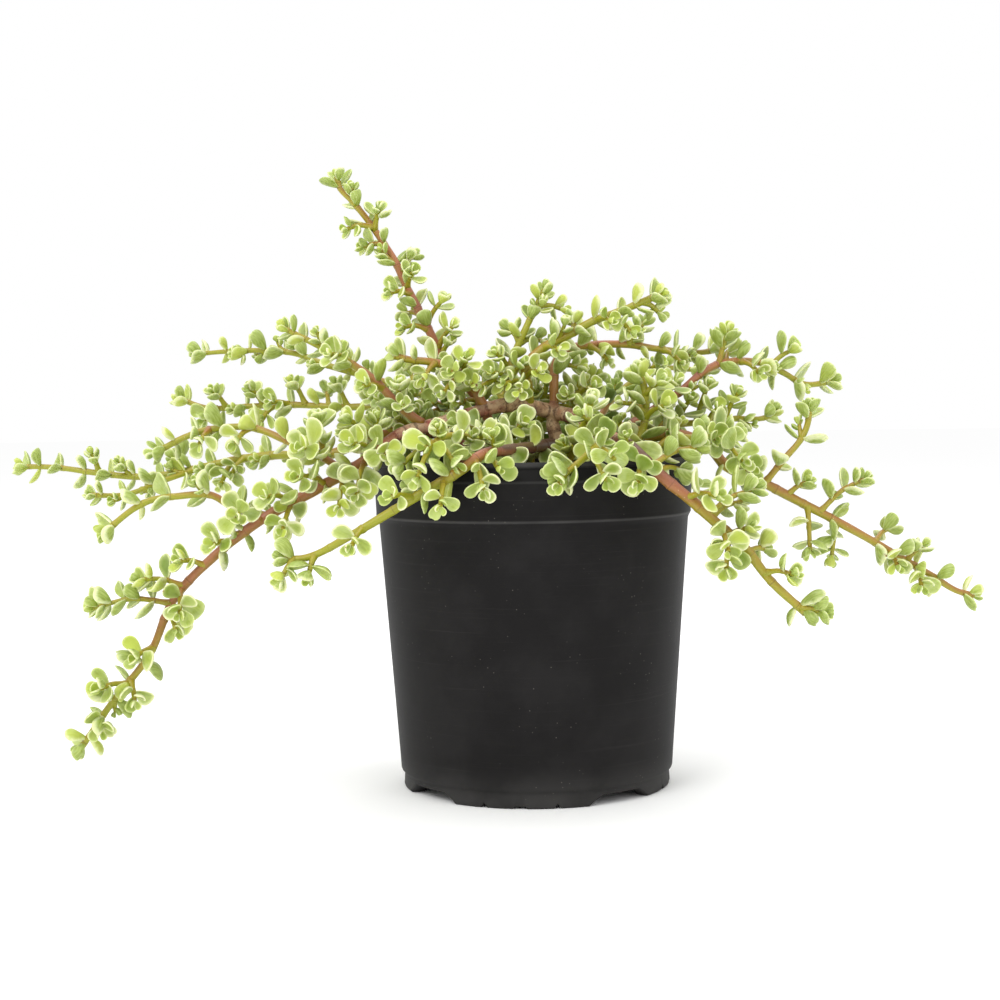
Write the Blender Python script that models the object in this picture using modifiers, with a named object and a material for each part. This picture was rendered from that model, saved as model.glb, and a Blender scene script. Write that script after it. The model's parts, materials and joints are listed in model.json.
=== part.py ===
"""Potted variegated elephant bush: a nursery pot, its soil, a woody trunk and the leafy stems."""

import math
import random
from collections import namedtuple

import bmesh
import bpy
from mathutils import Matrix, Vector
from mathutils.bvhtree import BVHTree

# Driving dimensions. Tables and sizes with names that end in _MM are in millimetres.
MM = 0.001
GAP = 0.3 * MM
TURN_STEPS = 32

RIM_HEIGHT = 168.5 * MM
RIM_RADIUS = 82.6 * MM
BAND_RADIUS = 81.9 * MM
RIDGE_HEIGHT = 140.0 * MM
RIDGE_RADIUS = 80.9 * MM
BODY_TOP = (79.5 * MM, 137.4 * MM)
BODY_FOOT = (70.3 * MM, 11.0 * MM)
FOOT_RADIUS = 68.8 * MM
FOOT_RING = 7.5 * MM
FOOT_DEPTH = 5.0 * MM
WALL = 1.6 * MM
FLOOR_TOP = 6.8 * MM
HUB_RADIUS = 16.0 * MM

FEET = 4
FOOT_TURN = math.radians(-97.0)
CHANNEL_ANGLES = (math.radians(28.0), math.radians(19.0))
NOTCH_TURN = math.radians(15.4)
NOTCH_SIZE = (2.6 * MM, 2.1 * MM)
FLAT_NOTCH = (6.0 * MM, 1.0 * MM)
DRAIN_RADIUS = 5.0 * MM
DRAIN_PLACE = 54.0 * MM
DRAIN_SIDES = 8

SOIL_TOP = 156.0 * MM
SOIL_DOME = 3.0 * MM
HOLE_DEPTH = 20.0 * MM
HOLE_ROOM = 0.4 * MM
HOLE_SIDES = 6
NECK_TOP = 161.0 * MM

LIMB_GIRTH_MM = (4.1, 3.3)
TRUNK_GIRTH_MM = (5.2, 3.2)

# A leaf's width as a share of its length, where its belly is fullest, how its outline fills out from
# its narrow root, and how deep in its stalk it starts, as a share of the stalk's radius.
LEAF_WIDTH = 0.82
LEAF_THICKNESS = 2.0 * MM
LEAF_BODY = 0.62
LEAF_OUTLINE = (0.60, 0.55, 0.74)
LEAF_SIDES = 5
LEAF_SEAT = 0.25
LONGEST_SPAN = 32.0 * MM
STALK_BOW = 0.7
WOOD_BOW = 0.25
FIRST_SPAN = 3.0 * MM
RING_SIDES = 12
SEAT_STEP = 0.05 * MM
ROUTE_STEP = 1.5 * MM
SHARP_ANGLE = math.radians(35.0)

# One leafy stem: where it is seated, its route, how much of the route is the trunk's own wood,
# the stalk's radii, the leaf lengths, the spaces between leaf pairs, the bare length at its foot,
# the end points of its side shoots, the routes of its branches, and the stretches, from one X to
# another, where the main stalk has no leaves. Lengths are in millimetres.
Stem = namedtuple("Stem", "seat route wood girth leaf pitch bare shoots branches clear",
                  defaults=(0, (2.4, 1.0), (13, 10), (18, 10), 12, (), (), ()))
# One axis that leaves grow on: a main stalk, a branch or a side shoot of a stem. Its foot is the
# length of its first span, which lies in line with what the stem is seated on.
Axis = namedtuple("Axis", "stem kind route start foot girth leaf pitch bare")
# One place for a leaf: how far along its axis, which way round it, and how it stands.
Site = namedtuple("Site", "axis index place turn spread length rank")
Leaf = namedtuple("Leaf", "site matrix")

TRUNK_ROUTE_MM = (
    (12, 2), (12.4, 1, 177), (10.5, 0, 186), (11.5, 0, 196), (11.5, 2, 207), (12.5, 5, 216), (18, 9, 223),
    (33, 14, 226), (51, 20, 226), (68, 25, 223.5), (88, 30, 221.5), (100, 31, 223),
)
LEFT_LIMB_MM = (
    (11, 0, 191.5), (3, -3, 193.5), (-8, -8, 195.5), (-20, -13, 194.5), (-33, -17, 190.5), (-52, -22, 185.5),
    (-66, -30, 182), (-84, -38, 168.5), (-106, -42, 156), (-134, -46, 141), (-159, -49, 122),
    (-178, -50, 102), (-190, -50, 76), (-211, -48, 50), (-226, -47, 29),
)
RIGHT_LIMB_MM = (
    (11, 1, 191.5), (20, -8, 189.5), (29, -26, 185), (41, -43, 178), (47.5, -67, 174.5), (54, -73, 168),
    (64, -76, 158.5), (76, -77, 148.5), (89, -76, 136.5), (99, -75, 128), (113, -73, 110), (130, -70, 94),
)

STEMS = {
    "stem_long_left": Stem(
        "limb", LEFT_LIMB_MM, 90, (3.0, 1.5), (15, 13), (20, 11), 8,
        shoots=((-71, -58, 172), (-88, -54, 178), (-112, -62, 176), (-94, -64, 147), (-114, -66, 162),
                (-129, -64, 153), (-143, -66, 143), (-121, -68, 137), (-193, -56, 113), (-217, -54, 99),
                (-172, -66, 97), (-195, -62, 75), (-213, -60, 60), (-197, -56, 53), (-91, -42, 190),
                (-148, -36, 178)),
        branches=(
            ((-95, -39, 165), (-106, -36, 172), (-124, -32, 180), (-140, -28, 186), (-159, -26, 186),
             (-173, -26, 182.5), (-190, -26, 174)),
            ((-134, -46, 141), (-150, -50, 149), (-157, -52, 153.5), (-174, -54, 153.5), (-189, -56, 151),
             (-204, -57, 141), (-209, -57, 136)),
        ), clear=((-187, -160),)),
    "stem_front_left": Stem(
        "side", ((12, 1, 174), (8.6, -14, 175), (-2.5, -45, 174.5), (-13.5, -65, 174), (-24, -80, 172.5),
                 (-33, -86, 166), (-47, -87, 158), (-60, -86, 150.5), (-87, -84, 135), (-107, -80, 125),
                 (-119, -77, 123.5)),
        0, (3.3, 1.6), (13, 13), (19, 11), 22,
        shoots=((-23, -96, 156), (-43, -100, 149), (-66, -100, 154), (-85, -96, 131), (-120, -84, 115)),
        clear=((-100, -52),)),
    "stem_left_rise": Stem(
        "side", ((-52, -22, 185.5), (-59, -25, 189.5), (-69, -24, 198.5), (-79, -22, 209), (-90, -20, 217),
                 (-103, -18, 224.5), (-125, -15, 236)),
        0, (2.5, 1.3), (14, 11), (18, 10), 8,
        shoots=((-84, -34, 206), (-100, -34, 222))),
    "stem_left_inner": Stem(
        "side", ((-23, -14, 194), (-26, -15, 198), (-28, -15, 203), (-32, -17, 207), (-39, -20, 214),
                 (-49, -22, 217.5), (-61, -24, 219), (-69, -25, 221)),
        0, (2.5, 1.6), (12, 11), (14, 9), 8,
        shoots=((-40, -34, 212),)),
    "stem_mid_rise": Stem(
        "side", ((-12, -9.5, 195), (-12, -9, 204), (-10, -6, 217), (-3, -5, 233.5), (2.6, -4, 245),
                 (7.4, -3, 254)),
        0, (2.3, 1.4), (13, 11), (13, 9), 8,
        shoots=((-18, -14, 222), (17, 4, 244))),
    "stem_mid_right": Stem(
        "side", ((-1, -4.5, 194.5), (-2, -10, 204), (-3, -13, 213.5), (6, -13, 224), (19, -14, 230.5),
                 (32, -15, 237.5), (44, -16, 241.5), (59, -17, 247.5), (66, -18, 250)),
        0, (2.7, 1.6), (13, 11), (15, 9), 8,
        shoots=((14, -26, 222), (40, -30, 236), (66, -10, 240))),
    "stem_front_short": Stem(
        "side", ((35, -34, 181.5), (35, -52, 181), (33, -68, 178), (28, -81, 173.5), (18, -89, 165.5),
                 (12, -91, 160.5)),
        0, (2.2, 1.4), (15, 13), (12, 8), 14,
        shoots=((38, -98, 170), (24, -62, 190), (34, -98, 160))),
    "stem_front_right": Stem(
        "limb", RIGHT_LIMB_MM, 62, (3.2, 1.9), (14, 13), (17, 10), 14,
        shoots=((81, -62, 174), (86, -92, 152), (91, -92, 126), (112, -62, 124), (122, -84, 114),
                (49, -94, 158), (106, -72, 154), (90, -90, 117)), clear=((62, 124),)),
    "stem_right_high": Stem(
        "limb", TRUNK_ROUTE_MM, 62, (2.5, 1.4), (13, 11), (15, 9), 12,
        shoots=((56, 18, 232), (60, 22, 238), (26, 2, 214))),
    "stem_far_left": Stem(
        "soil", ((-24, 14), (-38, 11, 176), (-62, 8, 183), (-84, 7, 179.5), (-106, 8, 171), (-134, 11, 171),
                 (-154, 13, 169), (-176, 15, 164.5), (-200, 17, 160.5), (-216, 18, 161), (-232, 19, 163),
                 (-249, 20, 165.5), (-264, 20, 166.5), (-272, 20, 166)),
        0, (3.3, 1.3), (14, 10), (19, 12), 46,
        shoots=((-120, 24, 178), (-192, 30, 170), (-162, 2, 156), (-232, 16, 173)),
        branches=(((-172, 15, 165.5), (-193, 7, 158.5), (-211, 2, 152), (-229, -2, 152)),)),
    "stem_left_middle": Stem(
        "soil", ((-36, 24), (-48, 28, 182), (-74, 34, 194), (-106, 42, 195.5), (-128, 47, 197),
                 (-156, 53, 196.5), (-177, 57, 196), (-193, 60, 201)),
        0, (2.5, 1.3), (13, 11), (18, 12), 44,
        shoots=((-84, 22, 200), (-140, 36, 198), (-129, 44, 210), (-173, 50, 205), (-178, 50, 189))),
    "stem_left_high": Stem(
        "soil", ((-20, 42), (-34, 44, 184), (-62, 46, 202), (-90, 48, 212), (-110, 51, 218), (-129, 58, 225),
                 (-148, 64, 227), (-167, 70, 227), (-185, 75, 226)),
        0, (2.5, 1.2), (13, 11), (18, 11), 48,
        shoots=((-66, 60, 214), (-104, 38, 226))),
    "stem_tall": Stem(
        "soil", ((-12, 20), (-19, 16, 178), (-28, 12, 198.5), (-45, 9, 218), (-52, 8, 233), (-59, 8, 247.5),
                 (-65, 8, 259.5), (-70, 8, 271), (-77.5, 9, 283), (-84, 10, 292.5), (-92, 11, 302.5),
                 (-98, 12, 309), (-99.5, 12, 315)),
        0, (3.1, 1.4), (14, 11), (15, 10), 50,
        shoots=((-86, 6, 278), (-40, -2, 236), (-45, 2, 250))),
    "stem_right_arch": Stem(
        "soil", ((34, 10), (46, 9, 180), (67.5, 8, 194.5), (78.5, 10, 202), (90, 13, 211.5), (99, 16, 215.5),
                 (113, 20, 216.5), (122, 22, 215), (133, 25, 210), (144, 28, 204), (158, 30, 205)),
        0, (2.8, 1.4), (13, 13), (15, 10), 44,
        shoots=((74, -4, 206), (104, 30, 222), (103, 16, 232), (137, 22, 222))),
    "stem_long_right": Stem(
        "soil", ((40, -8), (53, -10, 175), (71.5, -11, 179.5), (90, -9, 172.5), (99, -8, 162.5),
                 (118.5, -6, 153.5), (136, -4, 144), (152, -2, 135.5), (171.5, 0, 124.5), (194, 3, 111),
                 (206, 5, 104), (218.5, 6, 96), (228, 7, 93)),
        0, (3.4, 1.5), (14, 12.5), (19, 12), 44,
        shoots=((170, -4, 155), (141, -10, 118), (154, 4, 113), (110, -26, 160), (185, 12, 128),
                (201, 4, 119)),
        branches=(((118.5, -6, 153.5), (129, -5, 166), (137, -4, 175), (141, -3, 183), (142, -3, 192)),),
        clear=((117, 139), (156, 174))),
    "stem_right_inner": Stem(
        "soil", ((46, -20), (53.5, -20, 175.5), (57.3, -20, 190), (56.5, -20, 204), (54, -20, 210)),
        0, (2.3, 1.7), (15, 13), (11, 8), 34,
        shoots=((66, -30, 194), (65, -24, 206))),
    "stem_right_low": Stem(
        "soil", ((60, -25), (66, -26, 176), (84, -27, 178), (102.5, -30, 179)),
        0, (2.2, 1.4), (13, 12), (14, 9), 34,
        shoots=((102, -58, 166), (90, -44, 176))),
    "stem_right_middle": Stem(
        "soil", ((46, 22), (58, 21, 176), (73, 18, 183), (89.5, 16, 185), (105, 15, 186.5), (122, 14, 187),
                 (126, 14, 190)),
        0, (2.4, 1.3), (13, 11), (15, 9), 40,
        shoots=((96, 4, 192), (92, 8, 205))),
    "stem_front_rosette": Stem(
        "soil", ((-22, -30), (-30, -50, 179), (-42, -73, 181), (-50, -90, 176)),
        0, (2.2, 1.4), (14, 13), (12, 8), 34,
        shoots=((-63, -82, 167), (-54, -96, 162))),
    "stem_front_middle": Stem(
        "soil", ((18, -30), (22, -36, 178), (27, -44, 190), (29, -48, 197)),
        0, (2.1, 1.4), (13, 12), (11, 7), 32),
    "stem_front_inner": Stem(
        "soil", ((-8, -19), (-9, -21, 175), (-13, -23, 185)),
        0, (2.0, 1.3), (14, 13), (11, 7), 28,
        shoots=((-30, -32, 178),)),
    "stem_centre": Stem(
        "soil", ((-1, 22), (1, 20, 178), (5, 17, 192), (8, 15, 207)),
        0, (2.1, 1.3), (13, 12), (11, 8), 30,
        shoots=((0, 8, 203),)),
    "stem_centre_right": Stem(
        "soil", ((24, 14), (25, 12, 180), (23, 9, 195), (25, 8, 207)),
        0, (2.1, 1.3), (13, 12), (11, 8), 32,
        shoots=((32, -4, 204),)),
    "stem_back_left": Stem(
        "soil", ((-8, 56), (-20, 72, 180), (-38, 100, 177), (-55, 128, 160), (-66, 146, 140)),
        0, (2.7, 1.3), (14, 11), (18, 11), 40,
        shoots=((-24, 110, 184),)),
    "stem_back_middle": Stem(
        "soil", ((12, 52), (16, 72, 182), (20, 100, 178), (22, 128, 163), (24, 146, 140)),
        0, (2.7, 1.3), (14, 11), (18, 11), 40,
        shoots=((34, 112, 180),)),
    "stem_back_right": Stem(
        "soil", ((34, 42), (47, 66, 182), (66, 90, 178), (84, 112, 163), (96, 126, 142)),
        0, (2.7, 1.3), (14, 11), (18, 11), 40,
        shoots=((62, 104, 186),)),
    "stem_back_rise": Stem(
        "soil", ((28, 28), (38, 46, 190), (54, 60, 206), (74, 72, 214), (92, 82, 213)),
        0, (2.5, 1.3), (13, 11), (15, 9), 42,
        shoots=((44, 66, 206),)),
    "stem_back_inner": Stem(
        "soil", ((-4, 36), (-12, 50, 192), (-24, 64, 204), (-40, 78, 208)),
        0, (2.4, 1.3), (13, 11), (14, 9), 40),
}

BRANCH_LEAF = 0.92
SHOOT_LEAF = 0.90
SHOOT_GIRTH_MM = (1.5, 1.0)
SHOOT_PITCH_MM = (8, 7)
SHOOT_BARE_MM = 5
BRANCH_BARE_MM = 8
SHOOT_SETBACK = 0.45
SHOOT_BULGE = 0.1
# The last three pairs of an axis: how far back from its end, their size and how wide they stand.
TIP_PAIRS = ((6.0 * MM, 0.95, 64), (3.2 * MM, 0.74, 46), (1.0 * MM, 0.48, 24))
PAIR_SPREAD = (58, 78)
UP_LEAN = 0.22
FACE_UP = 0.45
# What is tried in turn where a leaf would touch another: a turn, a change of spread, a size.
TRIES = ((0, 0, 1.0), (18, 0, 1.0), (-18, 0, 1.0), (0, -18, 0.92), (32, -8, 0.85), (-32, -8, 0.85))
# The room kept round a leaf, a stalk and the pot when a leaf's place is tested.
PROXY_SIDES = 8
PROXY_ROOT = 0.24
PROXY_SWELL = 1.12
STALK_ROOM = 0.4 * MM
WALL_ROOM = 0.5 * MM


def remove_everything():
    """Empty the scene before anything is made."""
    for item in list(bpy.data.objects):
        bpy.data.objects.remove(item, do_unlink=True)


def add_collection(name):
    """A named collection under the scene's own."""
    collection = bpy.data.collections.new(name)
    bpy.context.scene.collection.children.link(collection)
    return collection


def principled(name, colour, roughness):
    """A plain material of one colour."""
    material = bpy.data.materials.new(name)
    material.use_nodes = True
    shader = material.node_tree.nodes["Principled BSDF"]
    shader.inputs["Base Color"].default_value = (*colour, 1.0)
    shader.inputs["Roughness"].default_value = roughness
    shader.inputs["Metallic"].default_value = 0.0
    material.diffuse_color = (*colour, 1.0)
    return material


def add_object(name, mesh, collection, material=None):
    """An object for a mesh, in its collection."""
    thing = bpy.data.objects.new(name, mesh)
    if material:
        mesh.materials.append(material)
    collection.objects.link(thing)
    return thing


def make_cutter(thing):
    """Mark an object as a cutter, which is not part of the model."""
    thing.hide_render = True
    thing.display_type = "WIRE"


def metres(point):
    """A point of the tables, in metres."""
    return Vector(point) * MM


def apply_modifiers(thing):
    """Replace a mesh by what its modifiers make of it, shaded smooth up to its real edges."""
    graph = bpy.context.evaluated_depsgraph_get()
    mesh = bpy.data.meshes.new_from_object(thing.evaluated_get(graph))
    thing.modifiers.clear()
    thing.data = mesh
    mesh.shade_smooth()
    mesh.set_sharp_from_angle(angle=SHARP_ANGLE)


def turned(name, profile, collection, material=None):
    """A solid turned about Z from a profile that starts and ends on the axis."""
    mesh = bpy.data.meshes.new(name)
    rows = len(profile)
    mesh.from_pydata([(r, 0, z) for r, z in profile], [(i, i + 1) for i in range(rows - 1)], [])
    thing = add_object(name, mesh, collection, material)
    turn = thing.modifiers.new("turn", "SCREW")
    turn.axis = "Z"
    turn.steps = TURN_STEPS
    turn.render_steps = TURN_STEPS
    turn.use_merge_vertices = True
    turn.merge_threshold = 0.01 * MM
    return thing


def cut(thing, cutters):
    """Cut every object of a collection out of a solid, for good, and remove them."""
    boolean = thing.modifiers.new("cut", "BOOLEAN")
    boolean.operation = "DIFFERENCE"
    boolean.operand_type = "COLLECTION"
    boolean.collection = cutters
    boolean.solver = "EXACT"
    apply_modifiers(thing)
    for cutter in list(cutters.objects):
        bpy.data.objects.remove(cutter, do_unlink=True)


def wall_radius(height):
    """The outer radius of the pot's plain body at a height."""
    share = (height - BODY_FOOT[1]) / (BODY_TOP[1] - BODY_FOOT[1])
    return BODY_FOOT[0] + share * (BODY_TOP[0] - BODY_FOOT[0])


def inner_wall():
    """The pot's inside from the floor to the ridge, as radius and height."""
    low = FLOOR_TOP + 2.5 * MM
    return [
        (wall_radius(low) - 2.2 * WALL, FLOOR_TOP),
        (wall_radius(low) - WALL, low),
        (BODY_TOP[0] - WALL, BODY_TOP[1]),
        (BAND_RADIUS - WALL, RIM_HEIGHT),
    ]


def pot_profile():
    """The pot's outline: up the inside, over the lip, down the outside and under the floor."""
    inside = [(0.0, FLOOR_TOP)] + inner_wall()
    lip = [
        (RIM_RADIUS - 0.7 * MM, RIM_HEIGHT),
        (RIM_RADIUS, RIM_HEIGHT - 0.8 * MM),
        (RIM_RADIUS, RIM_HEIGHT - 2.7 * MM),
        (BAND_RADIUS, RIM_HEIGHT - 3.2 * MM),
    ]
    outside = [
        (RIDGE_RADIUS, RIDGE_HEIGHT),
        BODY_TOP,
        BODY_FOOT,
        (FOOT_RADIUS - 0.3 * MM, BODY_FOOT[1] - 2.4 * MM),
        (FOOT_RADIUS, 1.2 * MM),
        (FOOT_RADIUS - 1.0 * MM, 0.0),
    ]
    under = [
        (FOOT_RADIUS - FOOT_RING, 0.0),
        (FOOT_RADIUS - FOOT_RING, FOOT_DEPTH),
        (HUB_RADIUS, FOOT_DEPTH),
        (HUB_RADIUS, 0.0),
        (0.0, 0.0),
    ]
    return inside + lip + outside + under


def radial_block(name, collection, angle, low_width, high_width, height):
    """A cutter that runs outward through the foot ring, narrower at its top if asked."""
    mesh = bpy.data.meshes.new(name)
    shape = bmesh.new()
    bmesh.ops.create_cube(shape, size=1.0)
    reach = FOOT_RING + 6.0 * MM
    middle = FOOT_RADIUS - 0.5 * FOOT_RING
    for vertex in shape.verts:
        top = vertex.co.z > 0
        width = high_width if top else low_width
        vertex.co = Vector((middle + vertex.co.x * reach, vertex.co.y * width, height if top else -height))
    shape.transform(Matrix.Rotation(angle, 4, "Z"))
    shape.to_mesh(mesh)
    shape.free()
    make_cutter(add_object(name, mesh, collection))


def drain_cutter(name, collection, angle):
    """A round cutter through the floor."""
    mesh = bpy.data.meshes.new(name)
    shape = bmesh.new()
    place = Matrix.Rotation(angle, 4, "Z") @ Matrix.Translation((DRAIN_PLACE, 0, FLOOR_TOP))
    bmesh.ops.create_cone(shape, cap_ends=True, segments=DRAIN_SIDES, radius1=DRAIN_RADIUS,
                          radius2=DRAIN_RADIUS, depth=4 * FOOT_DEPTH, matrix=place)
    shape.to_mesh(mesh)
    shape.free()
    make_cutter(add_object(name, mesh, collection))


def build_pot(parts, cutters, material):
    """The nursery pot with its rim band, ridge, stepped foot ring, channels, notches and drain holes."""
    pot = turned("pot", pot_profile(), parts, material)
    # Below the ground plane a block is as wide as at the ground, so the taper is counted twice.
    ground = FOOT_RADIUS * math.sin(CHANNEL_ANGLES[0] / 2) * 2
    head = FOOT_RADIUS * math.sin(CHANNEL_ANGLES[1] / 2) * 2
    for foot in range(FEET):
        middle = FOOT_TURN + foot * math.tau / FEET
        corner = middle + math.tau / FEET / 2
        radial_block(f"channel_{foot}", cutters, corner, 2 * ground - head, head, FOOT_DEPTH)
        for side in (-1, 1):
            radial_block(f"notch_{foot}_{side + 1}", cutters, middle + side * NOTCH_TURN,
                         2 * NOTCH_SIZE[0], 0.2 * MM, NOTCH_SIZE[1])
        radial_block(f"flat_notch_{foot}", cutters, middle, *([FLAT_NOTCH[0]] * 2), FLAT_NOTCH[1])
        drain_cutter(f"drain_{foot}", cutters, corner)
    cut(pot, cutters)


def soil_height(radius):
    """The height of the soil's gently domed top."""
    return SOIL_TOP - SOIL_DOME * (radius / RIM_RADIUS) ** 2


def build_soil(parts, cutters, material, feet):
    """The soil that fills the pot, with a plain hole for each stem that stands in it."""
    room = [(radius - GAP, height) for radius, height in inner_wall()]
    level = (soil_height(RIM_RADIUS) - BODY_TOP[1]) / (RIM_HEIGHT - BODY_TOP[1])
    edge = room[2][0] + level * (room[3][0] - room[2][0])
    profile = [(0.0, soil_height(0)), (edge, soil_height(edge)), room[2], (room[1][0], room[1][1] + GAP),
               (room[0][0], FLOOR_TOP + GAP), (0.0, FLOOR_TOP + GAP)]
    soil = turned("soil", profile, parts, material)
    for number, (place, radius) in enumerate(feet):
        mesh = bpy.data.meshes.new(f"hole_{number}")
        shape = bmesh.new()
        hole = (radius + HOLE_ROOM) / math.cos(math.pi / HOLE_SIDES)
        bmesh.ops.create_cone(shape, cap_ends=True, segments=HOLE_SIDES, radius1=hole, radius2=hole,
                              depth=2 * (HOLE_DEPTH + GAP),
                              matrix=Matrix.Translation((place[0], place[1], SOIL_TOP)))
        shape.to_mesh(mesh)
        shape.free()
        make_cutter(add_object(f"hole_{number}", mesh, cutters))
    cut(soil, cutters)


class Route:
    """A smooth curve through a few points, read by the distance along it."""

    def __init__(self, points, straight_first=False):
        self.points = [points[0]]
        headings = self.headings(points, straight_first)
        for here, there, out, into in zip(points, points[1:], headings, headings[1:]):
            chord = (there - here).length
            count = max(1, math.ceil(chord / ROUTE_STEP))
            for step in range(1, count + 1):
                self.points.append(self.between(here, there, out * chord, into * chord, step / count))
        self.marks = [0.0]
        for here, there in zip(self.points, self.points[1:]):
            self.marks.append(self.marks[-1] + (there - here).length)
        self.length = self.marks[-1]

    @staticmethod
    def headings(points, straight_first):
        chords = [(there - here).normalized() for here, there in zip(points, points[1:])]
        inner = [(before + after).normalized() for before, after in zip(chords, chords[1:])]
        if straight_first:
            inner[0] = chords[0]
        return [chords[0]] + inner + [chords[-1]]

    @staticmethod
    def between(here, there, out, into, share):
        square = share * share
        cube = square * share
        return (here * (2 * cube - 3 * square + 1) + out * (cube - 2 * square + share)
                + there * (3 * square - 2 * cube) + into * (cube - square))

    def at(self, distance):
        """The point and the heading at a distance along the curve."""
        distance = min(max(distance, 0.0), self.length)
        low, high = 0, len(self.marks) - 1
        while high - low > 1:
            middle = (low + high) // 2
            if self.marks[middle] <= distance:
                low = middle
            else:
                high = middle
        here, there = self.points[low], self.points[high]
        span = max(self.marks[high] - self.marks[low], 1e-9)
        return here.lerp(there, (distance - self.marks[low]) / span), (there - here).normalized()

    def nearest(self, point):
        """How far along the curve it comes closest to a point."""
        index = min(range(len(self.points)), key=lambda i: (self.points[i] - point).length_squared)
        return self.marks[index]


def stem_route(points):
    """A stem's route in metres; one that stands in the soil gets its straight foot first."""
    if len(points[0]) == 3:
        return Route([metres(point) for point in points])
    x, y = points[0][0] * MM, points[0][1] * MM
    foot = [Vector((x, y, SOIL_TOP - HOLE_DEPTH)), Vector((x, y, NECK_TOP))]
    return Route(foot + [metres(point) for point in points[1:]], straight_first=True)


def axis_radius(axis, distance):
    """The stalk's radius at a distance along its route."""
    share = (distance - axis.start) / max(axis.route.length - axis.start, 1e-6)
    return axis.girth[0] + (axis.girth[1] - axis.girth[0]) * min(max(share, 0.0), 1.0)


def trunk_axes():
    """The trunk and its two limbs, each as an axis that ends where its leafy stem begins."""
    axes = []
    for points, stem, girth in ((TRUNK_ROUTE_MM, "stem_right_high", TRUNK_GIRTH_MM),
                                (LEFT_LIMB_MM, "stem_long_left", LIMB_GIRTH_MM),
                                (RIGHT_LIMB_MM, "stem_front_right", LIMB_GIRTH_MM)):
        whole = stem_route(points)
        length = STEMS[stem].wood * MM
        count = max(2, round(length / (4 * MM)))
        wood = Route([whole.at(length * step / count)[0] for step in range(count + 1)])
        axes.append(Axis("trunk", "wood", wood, 0.0, 0.0, (girth[0] * MM, girth[1] * MM), None, None, 0))
    return axes


def side_start(route, radius, bark):
    """Where a stem that sprouts from the side of the wood is first clear of its bark, by the gap."""
    distance = 0.0
    while min(clearance(bark, point) for point in ring(route, distance, radius)) < GAP:
        distance += SEAT_STEP
    return distance


def ring(route, distance, radius):
    """Points round a route at a distance along it, and its middle."""
    centre, heading = route.at(distance)
    level, upright = cross_axes(heading)
    turns = (step * math.tau / RING_SIDES for step in range(RING_SIDES))
    return [centre] + [centre + (level * math.cos(turn) + upright * math.sin(turn)) * radius for turn in turns]


def clearance(bark, point):
    """How far a point is outside a closed surface, or less than nothing inside it."""
    nearest, normal, face, distance = bark.find_nearest(point)
    return math.copysign(distance, (point - nearest).dot(normal))


def cross_axes(heading):
    """Two directions square to a heading: a level one, and one as upright as it can be."""
    level = heading.cross(Vector((0, 0, 1)))
    if level.length < 0.05:
        level = Vector((1, 0, 0)) - heading * heading.x
    level.normalize()
    return level, level.cross(heading).normalized()


def grow_axes(name, stem, bark):
    """The axes of one leafy stem: its stalk, then its branches, then its side shoots."""
    route = stem_route(stem.route)
    girth = (stem.girth[0] * MM, stem.girth[1] * MM)
    leaf = (stem.leaf[0] * MM, stem.leaf[1] * MM)
    pitch = (stem.pitch[0] * MM, stem.pitch[1] * MM)
    start = 0.0
    foot = FIRST_SPAN
    if stem.seat == "soil":
        foot = NECK_TOP - SOIL_TOP + HOLE_DEPTH
    elif stem.seat == "limb":
        start = stem.wood * MM + GAP
    else:
        start = side_start(route, girth[0], bark)
    axes = [Axis(name, "stalk", route, start, foot, girth, leaf, pitch, start + stem.bare * MM)]
    for points in stem.branches:
        branch = Route([metres(point) for point in points])
        root = axis_radius(axes[0], axes[0].route.nearest(branch.points[0]))
        sizes = tuple(length * BRANCH_LEAF for length in leaf)
        axes.append(Axis(name, "branch", branch, 0.0, 0.0, (0.72 * root, girth[1]), sizes, pitch,
                         root + BRANCH_BARE_MM * MM))
    for end in stem.shoots:
        axes.append(grow_shoot(name, axes[:1 + len(stem.branches)], metres(end), leaf))
    return axes


def grow_shoot(name, parents, end, leaf):
    """A side shoot from the nearest stalk to the point given, a little forward along the stalk."""
    parent = min(parents, key=lambda axis: (axis.route.at(axis.route.nearest(end))[0] - end).length)
    near = parent.route.nearest(end)
    away = (parent.route.at(near)[0] - end).length
    root = parent.route.at(max(near - SHOOT_SETBACK * away, parent.bare))[0]
    middle = root.lerp(end, 0.5) + Vector((0, 0, SHOOT_BULGE * away))
    sizes = tuple(length * SHOOT_LEAF for length in leaf)
    girth = (SHOOT_GIRTH_MM[0] * MM, SHOOT_GIRTH_MM[1] * MM)
    pitch = (SHOOT_PITCH_MM[0] * MM, SHOOT_PITCH_MM[1] * MM)
    return Axis(name, "shoot", Route([root, middle, end]), 0.0, 0.0, girth, sizes, pitch,
                parent.girth[0] + SHOOT_BARE_MM * MM)


def is_bare(axis, distance):
    """Whether a place on a main stalk lies in one of its stretches without leaves."""
    across = axis.route.at(distance)[0].x / MM
    return axis.kind == "stalk" and any(low < across < high for low, high in STEMS[axis.stem].clear)


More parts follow.
